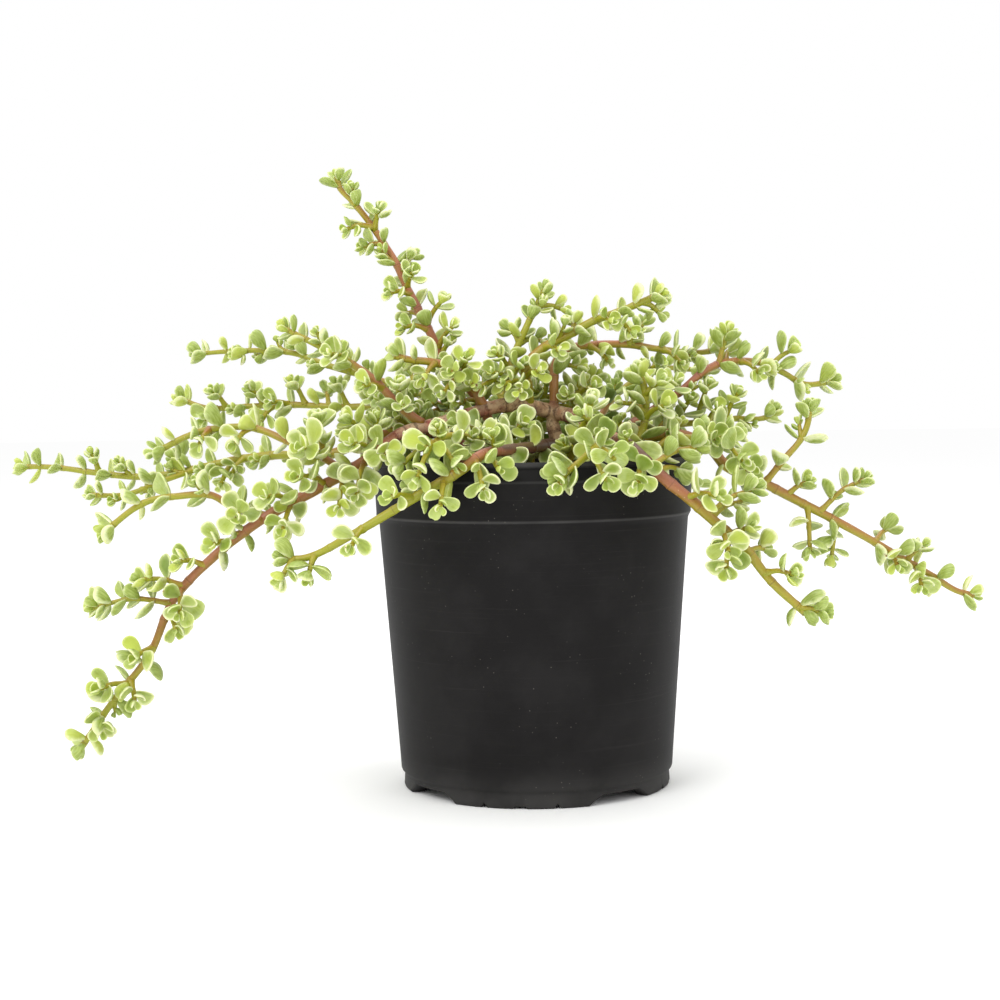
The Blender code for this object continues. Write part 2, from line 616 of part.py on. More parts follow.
def leaf_sites(axis, number):
    """The places for an axis's leaves: opposite pairs, each turned a quarter from the last."""
    draw = random.Random(f"{axis.stem} {number}")
    sites = []
    turn = draw.uniform(30, 60)
    distance = axis.bare
    last = axis.route.length - TIP_PAIRS[0][0]
    pair = 0
    while distance < last - 0.5 * axis.pitch[1]:
        share = distance / axis.route.length
        length = (axis.leaf[0] + (axis.leaf[1] - axis.leaf[0]) * share) * draw.uniform(0.85, 1.12)
        spread = draw.uniform(*PAIR_SPREAD)
        for side in () if is_bare(axis, distance) else (0, 1):
            rank = 0 if axis.kind != "shoot" and side == (pair // 2) % 2 else 1
            sites.append(Site(axis, len(sites), distance, turn + 180 * side + draw.uniform(-8, 8),
                              spread + draw.uniform(-6, 6), length * draw.uniform(0.93, 1.07), rank))
        distance += (axis.pitch[0] + (axis.pitch[1] - axis.pitch[0]) * share) * draw.uniform(0.88, 1.12)
        turn += 90 + draw.uniform(-7, 7)
        pair += 1
    for order, (back, size, spread) in enumerate(TIP_PAIRS):
        for side in (0, 1):
            rank = 0 if order < (1 if axis.kind == "shoot" else 2) else 1
            sites.append(Site(axis, len(sites), axis.route.length - back,
                              turn + 180 * side + draw.uniform(-6, 6), spread + draw.uniform(-6, 6),
                              axis.leaf[1] * size * draw.uniform(0.92, 1.08), rank))
        turn += 90
    return sites


def leaf_matrix(site, turn, spread, size):
    """The place of a unit leaf: its length along X from the stalk's middle, its upper face to Z."""
    point, heading = site.axis.route.at(site.place)
    level, upright = cross_axes(heading)
    angle = math.radians(site.turn + turn)
    opening = math.radians(site.spread + spread)
    outward = level * math.cos(angle) + upright * math.sin(angle)
    along = heading * math.cos(opening) + outward * math.sin(opening)
    along = (along + Vector((0, 0, UP_LEAN))).normalized()
    face = heading + Vector((0, 0, FACE_UP))
    face = (face - along * along.dot(face)).normalized()
    across = face.cross(along)
    radius = axis_radius(site.axis, site.place)
    length = site.length * size
    scale = Matrix.Diagonal((length + (1 - LEAF_SEAT) * radius, length * LEAF_WIDTH, LEAF_THICKNESS, 1.0))
    frame = Matrix((along, across, face)).transposed().to_4x4()
    return Matrix.Translation(point + along * LEAF_SEAT * radius) @ frame @ scale


def unit_leaf(sides, root, swell):
    """Points and faces of a leaf one unit long, wide and thick: flat above, with a full belly."""
    shape = bmesh.new()
    bmesh.ops.create_cone(shape, cap_ends=True, cap_tris=False, segments=sides, radius1=1.0, radius2=0.0,
                          depth=1.0)
    for vertex in shape.verts:
        x, y, z = vertex.co
        if z > 0:
            vertex.co = Vector((LEAF_BODY, 0.0, -swell))
            continue
        share = max(0.0, 0.5 - 0.5 * y) ** LEAF_OUTLINE[2]
        width = x * (LEAF_OUTLINE[0] + LEAF_OUTLINE[1] * share)
        vertex.co = Vector((root + (1.0 - root) * share, 0.5 * width * swell, swell - 1.0))
    bmesh.ops.recalc_face_normals(shape, faces=shape.faces[:])
    shape.verts.ensure_lookup_table()
    points = [vertex.co.copy() for vertex in shape.verts]
    faces = [[vertex.index for vertex in face.verts] for face in shape.faces]
    shape.free()
    return points, faces


def tube_shell(axis, room):
    """Points and faces of a hexagonal tube a little fatter than an axis."""
    count = max(2, math.ceil((axis.route.length - axis.start) / (6 * MM)))
    points = []
    for step in range(count + 1):
        distance = axis.start + (axis.route.length - axis.start) * step / count
        centre, heading = axis.route.at(distance)
        level, upright = cross_axes(heading)
        radius = axis_radius(axis, distance) + room
        for side in range(6):
            angle = side * math.tau / 6
            points.append(centre + (level * math.cos(angle) + upright * math.sin(angle)) * radius)
    faces = []
    for step in range(count):
        for side in range(6):
            low, next_side = step * 6, (side + 1) % 6
            faces.append([low + side, low + next_side, low + 6 + next_side, low + 6 + side])
    return points, faces


class Crowd:
    """Shapes already placed, kept by coarse cells so that a new one is tested against near ones."""

    CELL = 25 * MM

    def __init__(self):
        self.cells = {}
        self.shapes = []

    def keys(self, points):
        low = [math.floor(min(point[i] for point in points) / self.CELL) for i in range(3)]
        high = [math.floor(max(point[i] for point in points) / self.CELL) for i in range(3)]
        return [(x, y, z) for x in range(low[0], high[0] + 1) for y in range(low[1], high[1] + 1)
                for z in range(low[2], high[2] + 1)]

    def add(self, points, faces, owner=None):
        """Keep a shape, under every cell that one of its faces comes near."""
        number = len(self.shapes)
        self.shapes.append((BVHTree.FromPolygons(points, faces), owner))
        for face in faces:
            for key in self.keys([points[index] for index in face]):
                self.cells.setdefault(key, set()).add(number)

    def is_clear(self, points, faces, owner=None):
        """Whether a shape crosses none of those kept, apart from its own stalk."""
        near = set()
        for key in self.keys(points):
            near |= self.cells.get(key, set())
        tree = BVHTree.FromPolygons(points, faces)
        return not any(self.shapes[n][0].overlap(tree) for n in near if self.shapes[n][1] is not owner
                       or owner is None)


def turned_shell(profile):
    """Points and faces of a turned surface, for tests against the pot and the soil."""
    sides = 48
    points = []
    for radius, height in profile:
        for side in range(sides):
            angle = side * math.tau / sides
            points.append(Vector((radius * math.cos(angle), radius * math.sin(angle), height)))
    faces = []
    for row in range(len(profile) - 1):
        for side in range(sides):
            low, other = row * sides, (side + 1) % sides
            faces.append([low + side, low + other, low + sides + other, low + sides + side])
    return points, faces


def start_crowd(axes):
    """A crowd that holds the pot's walls, the soil's top and every stalk."""
    crowd = Crowd()
    inner = BAND_RADIUS - WALL - WALL_ROOM
    outer = RIM_RADIUS + WALL_ROOM
    top = RIM_HEIGHT + WALL_ROOM
    pot = [(inner, SOIL_TOP), (inner, top), (outer, top), (outer, RIDGE_HEIGHT),
           (BODY_FOOT[0] + WALL_ROOM, BODY_FOOT[1])]
    crowd.add(*turned_shell(pot))
    crowd.add(*turned_shell([(MM, SOIL_TOP + WALL_ROOM), (outer, SOIL_TOP + WALL_ROOM)]))
    for axis in axes:
        crowd.add(*tube_shell(axis, STALK_ROOM), owner=axis)
    return crowd


def grow_leaves(axes, crowd, rank):
    """Place the leaves of one rank, each where it touches no other leaf, stalk or wall."""
    proxy, faces = unit_leaf(PROXY_SIDES, PROXY_ROOT, PROXY_SWELL)
    leaves = []
    for number, axis in enumerate(axes):
        for site in leaf_sites(axis, number):
            if site.rank != rank:
                continue
            for turn, spread, size in TRIES:
                matrix = leaf_matrix(site, turn, spread, size)
                points = [matrix @ point for point in proxy]
                if crowd.is_clear(points, faces, axis):
                    crowd.add(points, faces)
                    leaves.append(Leaf(site, matrix))
                    break
    return leaves


def knots(axis):
    """Distances along an axis between which straight spans stay close to its curve."""
    places = [axis.start]
    if axis.foot:
        places.append(axis.start + axis.foot)
    last = axis.route.length
    end = last - FIRST_SPAN if axis.kind == "wood" else last
    share = WOOD_BOW if axis.kind == "wood" else STALK_BOW
    while places[-1] < end:
        here = places[-1]
        reach = min(here + LONGEST_SPAN, end)
        stray = share * axis_radius(axis, reach)
        while reach - here > 2 * ROUTE_STEP and bow(axis.route, here, reach) > stray:
            reach -= ROUTE_STEP
        places.append(reach)
    if end < last:
        places.append(last)
    return places


def bow(route, here, there):
    """How far a route strays from the straight span between two places on it."""
    start = route.at(here)[0]
    line = route.at(there)[0] - start
    marks = (here + (there - here) * share / 6 for share in range(1, 6))
    return max((route.at(mark)[0] - start).cross(line).length / line.length for mark in marks)


def tube_mesh(name, axis, sides_level):
    """A closed tube along an axis, made as a bevelled curve and turned into a mesh."""
    curve = bpy.data.curves.new(name, "CURVE")
    curve.dimensions = "3D"
    curve.bevel_depth = MM
    curve.bevel_resolution = sides_level
    curve.use_fill_caps = True
    places = knots(axis)
    spline = curve.splines.new("POLY")
    spline.points.add(len(places) - 1)
    for distance, point in zip(places, spline.points):
        point.co = (*axis.route.at(distance)[0], 1.0)
        point.radius = axis_radius(axis, distance) / MM
    thing = bpy.data.objects.new(name, curve)
    bpy.context.scene.collection.objects.link(thing)
    graph = bpy.context.evaluated_depsgraph_get()
    mesh = bpy.data.meshes.new_from_object(thing.evaluated_get(graph))
    bpy.data.objects.remove(thing, do_unlink=True)
    shape = bmesh.new()
    shape.from_mesh(mesh)
    bmesh.ops.remove_doubles(shape, verts=shape.verts[:], dist=0.001 * MM)
    bmesh.ops.recalc_face_normals(shape, faces=shape.faces[:])
    shape.to_mesh(mesh)
    shape.free()
    return mesh


def fuse(thing, pieces):
    """Join every piece to the object with one union, then remove the pieces."""
    group = bpy.data.collections.new(f"{thing.name}_pieces")
    bpy.context.scene.collection.children.link(group)
    for piece in pieces:
        group.objects.link(piece)
    union = thing.modifiers.new("fuse", "BOOLEAN")
    union.operation = "UNION"
    union.operand_type = "COLLECTION"
    union.collection = group
    union.solver = "MANIFOLD"
    apply_modifiers(thing)
    for piece in pieces:
        bpy.data.objects.remove(piece, do_unlink=True)
    bpy.data.collections.remove(group)


def build_wood(parts, wood, material):
    """The trunk with its two limbs, fused into one piece."""
    trunk = add_object("trunk", tube_mesh("trunk", wood[0], 2), parts, material)
    limbs = [bpy.data.objects.new(f"limb_{n}", tube_mesh(f"limb_{n}", axis, 2))
             for n, axis in enumerate(wood[1:])]
    fuse(trunk, limbs)
    return trunk


def build_stem(name, axes, leaves, leaf_mesh, parts, material):
    """One leafy stem: its stalk with branches, side shoots and leaves fused in."""
    stem = add_object(name, tube_mesh(name, axes[0], 1), parts, material)
    pieces = []
    for number, axis in enumerate(axes[1:]):
        sides_level = 0 if axis.kind == "shoot" else 1
        pieces.append(bpy.data.objects.new(f"{name}_arm_{number}", tube_mesh(name, axis, sides_level)))
    for number, leaf in enumerate(leaves):
        piece = bpy.data.objects.new(f"{name}_leaf_{number}", leaf_mesh)
        piece.matrix_world = leaf.matrix
        pieces.append(piece)
    fuse(stem, pieces)


def build():
    """The whole plant in its pot."""
    remove_everything()
    parts = add_collection("potted_elephant_bush")
    cutters = add_collection("cutters")
    plastic = principled("black_plastic", (0.022, 0.021, 0.021), 0.5)
    earth = principled("potting_soil", (0.05, 0.033, 0.022), 0.95)
    brown = principled("bark", (0.16, 0.07, 0.05), 0.75)
    foliage = principled("variegated_leaf", (0.35, 0.5, 0.16), 0.45)

    build_pot(parts, cutters, plastic)
    standing = [stem for stem in STEMS.values() if stem.seat == "soil"]
    feet = [(metres((*stem.route[0], 0)), stem.girth[0] * MM) for stem in standing]
    feet.append((metres((*TRUNK_ROUTE_MM[0], 0)), TRUNK_GIRTH_MM[0] * MM))
    build_soil(parts, cutters, earth, feet)

    wood = trunk_axes()
    trunk = build_wood(parts, wood, brown)
    bark = BVHTree.FromPolygons([vertex.co for vertex in trunk.data.vertices],
                                [face.vertices for face in trunk.data.polygons])
    grown = {name: grow_axes(name, stem, bark) for name, stem in STEMS.items()}
    axes = [axis for group in grown.values() for axis in group]
    leaves = grow_leaves(axes, start_crowd(wood + axes), 0)

    leaf_mesh = bpy.data.meshes.new("leaf")
    points, faces = unit_leaf(LEAF_SIDES, 0.0, 1.0)
    leaf_mesh.from_pydata(points, [], faces)
    for name, group in grown.items():
        own = [leaf for leaf in leaves if leaf.site.axis.stem == name]
        build_stem(name, group, own, leaf_mesh, parts, foliage)
    bpy.data.meshes.remove(leaf_mesh)


build()
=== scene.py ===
"""Looks of the potted variegated elephant bush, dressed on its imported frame."""

import json
import math
import random
from collections import namedtuple

import bmesh
import bpy
import numpy as np
from mathutils import Matrix, Vector, noise
from mathutils.bvhtree import BVHTree

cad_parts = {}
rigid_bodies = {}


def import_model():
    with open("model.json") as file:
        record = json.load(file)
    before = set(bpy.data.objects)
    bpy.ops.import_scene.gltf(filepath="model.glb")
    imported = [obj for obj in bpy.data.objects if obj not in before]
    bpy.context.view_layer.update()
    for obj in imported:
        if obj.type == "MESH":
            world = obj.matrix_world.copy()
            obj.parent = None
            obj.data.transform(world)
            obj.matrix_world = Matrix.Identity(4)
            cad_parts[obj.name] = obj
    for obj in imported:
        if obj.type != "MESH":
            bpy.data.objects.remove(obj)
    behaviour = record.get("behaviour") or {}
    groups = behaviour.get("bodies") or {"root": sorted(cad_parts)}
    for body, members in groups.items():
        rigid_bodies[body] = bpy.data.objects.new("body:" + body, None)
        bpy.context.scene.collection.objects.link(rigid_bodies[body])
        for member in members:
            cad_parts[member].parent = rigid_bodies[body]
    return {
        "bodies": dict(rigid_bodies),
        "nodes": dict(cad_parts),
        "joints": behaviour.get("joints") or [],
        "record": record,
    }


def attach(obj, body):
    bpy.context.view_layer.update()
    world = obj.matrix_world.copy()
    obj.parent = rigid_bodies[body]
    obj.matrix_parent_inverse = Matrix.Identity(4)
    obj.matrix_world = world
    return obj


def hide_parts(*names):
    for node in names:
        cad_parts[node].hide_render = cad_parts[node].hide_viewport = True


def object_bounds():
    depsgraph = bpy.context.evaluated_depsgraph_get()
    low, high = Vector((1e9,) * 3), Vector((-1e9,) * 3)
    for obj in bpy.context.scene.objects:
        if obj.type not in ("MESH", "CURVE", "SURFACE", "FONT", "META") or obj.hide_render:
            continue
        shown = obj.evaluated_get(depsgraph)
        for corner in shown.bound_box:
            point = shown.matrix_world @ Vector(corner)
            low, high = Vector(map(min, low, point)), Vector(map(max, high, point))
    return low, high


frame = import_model()
CAD_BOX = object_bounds()

# Driving dimensions, as in the part's own source. Names that end in _MM are in millimetres.

MM = 0.001
GAP = 0.3 * MM

RIM_HEIGHT = 168.5 * MM
RIM_RADIUS = 82.6 * MM
BAND_RADIUS = 81.9 * MM
RIDGE_HEIGHT = 140.0 * MM
RIDGE_RADIUS = 80.9 * MM
BODY_TOP = (79.5 * MM, 137.4 * MM)
BODY_FOOT = (70.3 * MM, 11.0 * MM)
FOOT_RADIUS = 68.8 * MM
FOOT_RING = 7.5 * MM
FOOT_DEPTH = 5.0 * MM
WALL = 1.6 * MM
FLOOR_TOP = 6.8 * MM
FLOOR_ROUND = 2.5 * MM
FLOOR_SETBACK = 2.2
HUB_RADIUS = 16.0 * MM

FEET = 4
FOOT_TURN = math.radians(-97.0)
CHANNEL_ANGLES = (math.radians(28.0), math.radians(19.0))
NOTCH_TURN = math.radians(15.4)
NOTCH_SIZE = (2.6 * MM, 2.1 * MM)
FLAT_NOTCH = (6.0 * MM, 1.0 * MM)
DRAIN_RADIUS = 5.0 * MM
DRAIN_PLACE = 54.0 * MM

SOIL_TOP = 156.0 * MM
SOIL_DOME = 3.0 * MM
HOLE_DEPTH = 20.0 * MM
NECK_TOP = 161.0 * MM

LIMB_GIRTH_MM = (4.1, 3.3)
TRUNK_GIRTH_MM = (5.2, 3.2)

# A leaf's width as a share of its length, where its belly is fullest, how its outline fills out from
# its narrow root, and how deep in its stalk it starts, as a share of the stalk's radius.
LEAF_WIDTH = 0.82
LEAF_THICKNESS = 2.0 * MM
LEAF_BODY = 0.62
LEAF_OUTLINE = (0.60, 0.55, 0.74)
LEAF_SEAT = 0.25
RING_SIDES = 12
SEAT_STEP = 0.05 * MM
ROUTE_STEP = 1.5 * MM
LEAST_LEVEL = 0.05
WOOD_STEP = 4.0 * MM

# One leafy stem: where it is seated, its route, how much of the route is the trunk's own wood,
# the stalk's radii, the leaf lengths, the spaces between leaf pairs, the bare length at its foot,
# the end points of its side shoots, the routes of its branches, and the stretches, from one X to
# another, where the main stalk has no leaves. Lengths are in millimetres.
Stem = namedtuple("Stem", "seat route wood girth leaf pitch bare shoots branches clear",
                  defaults=(0, (2.4, 1.0), (13, 10), (18, 10), 12, (), (), ()))
# One axis that leaves grow on: a main stalk, a branch or a side shoot of a stem.
Axis = namedtuple("Axis", "stem kind route start girth leaf pitch bare")
# One place for a leaf: how far along its axis, which way round it, and how it stands. The leaves of
# rank 0 on the CAD part's own axes are the ones that its solids have.
Site = namedtuple("Site", "axis place turn spread length rank")
Leaf = namedtuple("Leaf", "site matrix")

TRUNK_ROUTE_MM = (
    (12, 2), (12.4, 1, 177), (10.5, 0, 186), (11.5, 0, 196), (11.5, 2, 207), (12.5, 5, 216), (18, 9, 223),
    (33, 14, 226), (51, 20, 226), (68, 25, 223.5), (88, 30, 221.5), (100, 31, 223),
)
LEFT_LIMB_MM = (
    (11, 0, 191.5), (3, -3, 193.5), (-8, -8, 195.5), (-20, -13, 194.5), (-33, -17, 190.5), (-52, -22, 185.5),
    (-66, -30, 182), (-84, -38, 168.5), (-106, -42, 156), (-134, -46, 141), (-159, -49, 122),
    (-178, -50, 102), (-190, -50, 76), (-211, -48, 50), (-226, -47, 29),
)
RIGHT_LIMB_MM = (
    (11, 1, 191.5), (20, -8, 189.5), (29, -26, 185), (41, -43, 178), (47.5, -67, 174.5), (54, -73, 168),
    (64, -76, 158.5), (76, -77, 148.5), (89, -76, 136.5), (99, -75, 128), (113, -73, 110), (130, -70, 94),
)

STEMS = {
    "stem_long_left": Stem(
        "limb", LEFT_LIMB_MM, 90, (3.0, 1.5), (15, 13), (20, 11), 8,
        shoots=((-71, -58, 172), (-88, -54, 178), (-112, -62, 176), (-94, -64, 147), (-114, -66, 162),
                (-129, -64, 153), (-143, -66, 143), (-121, -68, 137), (-193, -56, 113), (-217, -54, 99),
                (-172, -66, 97), (-195, -62, 75), (-213, -60, 60), (-197, -56, 53), (-91, -42, 190),
                (-148, -36, 178)),
        branches=(
            ((-95, -39, 165), (-106, -36, 172), (-124, -32, 180), (-140, -28, 186), (-159, -26, 186),
             (-173, -26, 182.5), (-190, -26, 174)),
            ((-134, -46, 141), (-150, -50, 149), (-157, -52, 153.5), (-174, -54, 153.5), (-189, -56, 151),
             (-204, -57, 141), (-209, -57, 136)),
        ), clear=((-187, -160),)),
    "stem_front_left": Stem(
        "side", ((12, 1, 174), (8.6, -14, 175), (-2.5, -45, 174.5), (-13.5, -65, 174), (-24, -80, 172.5),
                 (-33, -86, 166), (-47, -87, 158), (-60, -86, 150.5), (-87, -84, 135), (-107, -80, 125),
                 (-119, -77, 123.5)),
        0, (3.3, 1.6), (13, 13), (19, 11), 22,
        shoots=((-23, -96, 156), (-43, -100, 149), (-66, -100, 154), (-85, -96, 131), (-120, -84, 115)),
        clear=((-100, -52),)),
    "stem_left_rise": Stem(
        "side", ((-52, -22, 185.5), (-59, -25, 189.5), (-69, -24, 198.5), (-79, -22, 209), (-90, -20, 217),
                 (-103, -18, 224.5), (-125, -15, 236)),
        0, (2.5, 1.3), (14, 11), (18, 10), 8,
        shoots=((-84, -34, 206), (-100, -34, 222))),
    "stem_left_inner": Stem(
        "side", ((-23, -14, 194), (-26, -15, 198), (-28, -15, 203), (-32, -17, 207), (-39, -20, 214),
                 (-49, -22, 217.5), (-61, -24, 219), (-69, -25, 221)),
        0, (2.5, 1.6), (12, 11), (14, 9), 8,
        shoots=((-40, -34, 212),)),
    "stem_mid_rise": Stem(
        "side", ((-12, -9.5, 195), (-12, -9, 204), (-10, -6, 217), (-3, -5, 233.5), (2.6, -4, 245),
                 (7.4, -3, 254)),
        0, (2.3, 1.4), (13, 11), (13, 9), 8,
        shoots=((-18, -14, 222), (17, 4, 244))),
    "stem_mid_right": Stem(
        "side", ((-1, -4.5, 194.5), (-2, -10, 204), (-3, -13, 213.5), (6, -13, 224), (19, -14, 230.5),
                 (32, -15, 237.5), (44, -16, 241.5), (59, -17, 247.5), (66, -18, 250)),
        0, (2.7, 1.6), (13, 11), (15, 9), 8,
        shoots=((14, -26, 222), (40, -30, 236), (66, -10, 240))),
    "stem_front_short": Stem(
        "side", ((35, -34, 181.5), (35, -52, 181), (33, -68, 178), (28, -81, 173.5), (18, -89, 165.5),
                 (12, -91, 160.5)),
        0, (2.2, 1.4), (15, 13), (12, 8), 14,
        shoots=((38, -98, 170), (24, -62, 190), (34, -98, 160))),
    "stem_front_right": Stem(
        "limb", RIGHT_LIMB_MM, 62, (3.2, 1.9), (14, 13), (17, 10), 14,
        shoots=((81, -62, 174), (86, -92, 152), (91, -92, 126), (112, -62, 124), (122, -84, 114),
                (49, -94, 158), (106, -72, 154), (90, -90, 117)), clear=((62, 124),)),
    "stem_right_high": Stem(
        "limb", TRUNK_ROUTE_MM, 62, (2.5, 1.4), (13, 11), (15, 9), 12,
        shoots=((56, 18, 232), (60, 22, 238), (26, 2, 214))),
    "stem_far_left": Stem(
        "soil", ((-24, 14), (-38, 11, 176), (-62, 8, 183), (-84, 7, 179.5), (-106, 8, 171), (-134, 11, 171),
                 (-154, 13, 169), (-176, 15, 164.5), (-200, 17, 160.5), (-216, 18, 161), (-232, 19, 163),
                 (-249, 20, 165.5), (-264, 20, 166.5), (-272, 20, 166)),
        0, (3.3, 1.3), (14, 10), (19, 12), 46,
        shoots=((-120, 24, 178), (-192, 30, 170), (-162, 2, 156), (-232, 16, 173)),
        branches=(((-172, 15, 165.5), (-193, 7, 158.5), (-211, 2, 152), (-229, -2, 152)),)),
    "stem_left_middle": Stem(
        "soil", ((-36, 24), (-48, 28, 182), (-74, 34, 194), (-106, 42, 195.5), (-128, 47, 197),
                 (-156, 53, 196.5), (-177, 57, 196), (-193, 60, 201)),
        0, (2.5, 1.3), (13, 11), (18, 12), 44,
        shoots=((-84, 22, 200), (-140, 36, 198), (-129, 44, 210), (-173, 50, 205), (-178, 50, 189))),
    "stem_left_high": Stem(
        "soil", ((-20, 42), (-34, 44, 184), (-62, 46, 202), (-90, 48, 212), (-110, 51, 218), (-129, 58, 225),
                 (-148, 64, 227), (-167, 70, 227), (-185, 75, 226)),
        0, (2.5, 1.2), (13, 11), (18, 11), 48,
        shoots=((-66, 60, 214), (-104, 38, 226))),
    "stem_tall": Stem(
        "soil", ((-12, 20), (-19, 16, 178), (-28, 12, 198.5), (-45, 9, 218), (-52, 8, 233), (-59, 8, 247.5),
                 (-65, 8, 259.5), (-70, 8, 271), (-77.5, 9, 283), (-84, 10, 292.5), (-92, 11, 302.5),
                 (-98, 12, 309), (-99.5, 12, 315)),
        0, (3.1, 1.4), (14, 11), (15, 10), 50,
        shoots=((-86, 6, 278), (-40, -2, 236), (-45, 2, 250))),
    "stem_right_arch": Stem(
        "soil", ((34, 10), (46, 9, 180), (67.5, 8, 194.5), (78.5, 10, 202), (90, 13, 211.5), (99, 16, 215.5),
                 (113, 20, 216.5), (122, 22, 215), (133, 25, 210), (144, 28, 204), (158, 30, 205)),
        0, (2.8, 1.4), (13, 13), (15, 10), 44,
        shoots=((74, -4, 206), (104, 30, 222), (103, 16, 232), (137, 22, 222))),
    "stem_long_right": Stem(
        "soil", ((40, -8), (53, -10, 175), (71.5, -11, 179.5), (90, -9, 172.5), (99, -8, 162.5),
                 (118.5, -6, 153.5), (136, -4, 144), (152, -2, 135.5), (171.5, 0, 124.5), (194, 3, 111),
                 (206, 5, 104), (218.5, 6, 96), (228, 7, 93)),
        0, (3.4, 1.5), (14, 12.5), (19, 12), 44,
        shoots=((170, -4, 155), (141, -10, 118), (154, 4, 113), (110, -26, 160), (185, 12, 128),
                (201, 4, 119)),
        branches=(((118.5, -6, 153.5), (129, -5, 166), (137, -4, 175), (141, -3, 183), (142, -3, 192)),),
        clear=((117, 139), (156, 174))),
    "stem_right_inner": Stem(
        "soil", ((46, -20), (53.5, -20, 175.5), (57.3, -20, 190), (56.5, -20, 204), (54, -20, 210)),
        0, (2.3, 1.7), (15, 13), (11, 8), 34,
        shoots=((66, -30, 194), (65, -24, 206))),
    "stem_right_low": Stem(
        "soil", ((60, -25), (66, -26, 176), (84, -27, 178), (102.5, -30, 179)),
        0, (2.2, 1.4), (13, 12), (14, 9), 34,
        shoots=((102, -58, 166), (90, -44, 176))),
    "stem_right_middle": Stem(
        "soil", ((46, 22), (58, 21, 176), (73, 18, 183), (89.5, 16, 185), (105, 15, 186.5), (122, 14, 187),
                 (126, 14, 190)),
        0, (2.4, 1.3), (13, 11), (15, 9), 40,
        shoots=((96, 4, 192), (92, 8, 205))),
    "stem_front_rosette": Stem(
        "soil", ((-22, -30), (-30, -50, 179), (-42, -73, 181), (-50, -90, 176)),
        0, (2.2, 1.4), (14, 13), (12, 8), 34,
        shoots=((-63, -82, 167), (-54, -96, 162))),
    "stem_front_middle": Stem(
        "soil", ((18, -30), (22, -36, 178), (27, -44, 190), (29, -48, 197)),
        0, (2.1, 1.4), (13, 12), (11, 7), 32),
    "stem_front_inner": Stem(
        "soil", ((-8, -19), (-9, -21, 175), (-13, -23, 185)),
        0, (2.0, 1.3), (14, 13), (11, 7), 28,
        shoots=((-30, -32, 178),)),
    "stem_centre": Stem(
        "soil", ((-1, 22), (1, 20, 178), (5, 17, 192), (8, 15, 207)),
        0, (2.1, 1.3), (13, 12), (11, 8), 30,
        shoots=((0, 8, 203),)),
    "stem_centre_right": Stem(
        "soil", ((24, 14), (25, 12, 180), (23, 9, 195), (25, 8, 207)),
        0, (2.1, 1.3), (13, 12), (11, 8), 32,
        shoots=((32, -4, 204),)),
    "stem_back_left": Stem(
        "soil", ((-8, 56), (-20, 72, 180), (-38, 100, 177), (-55, 128, 160), (-66, 146, 140)),
        0, (2.7, 1.3), (14, 11), (18, 11), 40,
        shoots=((-24, 110, 184),)),
    "stem_back_middle": Stem(
        "soil", ((12, 52), (16, 72, 182), (20, 100, 178), (22, 128, 163), (24, 146, 140)),
        0, (2.7, 1.3), (14, 11), (18, 11), 40,
        shoots=((34, 112, 180),)),
    "stem_back_right": Stem(
        "soil", ((34, 42), (47, 66, 182), (66, 90, 178), (84, 112, 163), (96, 126, 142)),
        0, (2.7, 1.3), (14, 11), (18, 11), 40,
        shoots=((62, 104, 186),)),
    "stem_back_rise": Stem(
        "soil", ((28, 28), (38, 46, 190), (54, 60, 206), (74, 72, 214), (92, 82, 213)),
        0, (2.5, 1.3), (13, 11), (15, 9), 42,
        shoots=((44, 66, 206),)),
    "stem_back_inner": Stem(
        "soil", ((-4, 36), (-12, 50, 192), (-24, 64, 204), (-40, 78, 208)),
        0, (2.4, 1.3), (13, 11), (14, 9), 40),
}

BRANCH_LEAF = 0.92
BRANCH_GIRTH = 0.72
SHOOT_LEAF = 0.90
SHOOT_GIRTH_MM = (1.5, 1.0)
SHOOT_PITCH_MM = (8, 7)
SHOOT_BARE_MM = 5
BRANCH_BARE_MM = 8
SHOOT_SETBACK = 0.45
SHOOT_BULGE = 0.1
# The last three pairs of an axis: how far back from its end, their size and how wide they stand.
TIP_PAIRS = ((6.0 * MM, 0.95, 64), (3.2 * MM, 0.74, 46), (1.0 * MM, 0.48, 24))
PAIR_SPREAD = (58, 78)
# How far a leaf strays by chance: its pair's first turn, size, space and turn, and then its own
# turn, spread and size. A tip's leaves stray less.
FIRST_TURN = (30, 60)
PAIR_SIZES = (0.85, 1.12)
PAIR_SPACES = (0.88, 1.12)
PAIR_TURN = 7
LEAF_TURN = 8
SMALL_TURN = 6
OWN_SIZES = (0.93, 1.07)
TIP_SIZES = (0.92, 1.08)
UP_LEAN = 0.22
FACE_UP = 0.45
# What is tried in turn where a leaf would touch another: a turn, a change of spread, a size.
TRIES = ((0, 0, 1.0), (18, 0, 1.0), (-18, 0, 1.0), (0, -18, 0.92), (32, -8, 0.85), (-32, -8, 0.85))
# The room kept round a leaf, a stalk and the pot when a leaf's place is tested.
PROXY_SIDES = 8
PROXY_ROOT = 0.24
PROXY_SWELL = 1.12
STALK_ROOM = 0.4 * MM
WALL_ROOM = 0.5 * MM
SHELL_SIDES = 6
SHELL_STEP = 6 * MM
TURNED_SIDES = 48


def metres(point):
    """A point of the tables, in metres."""
    return Vector(point) * MM


def in_metres(sizes):
    """A pair of sizes of the tables, in metres."""
    return tuple(size * MM for size in sizes)


def wall_radius(height):
    """The outer radius of the pot's plain body at a height."""
    share = (height - BODY_FOOT[1]) / (BODY_TOP[1] - BODY_FOOT[1])
    return BODY_FOOT[0] + share * (BODY_TOP[0] - BODY_FOOT[0])


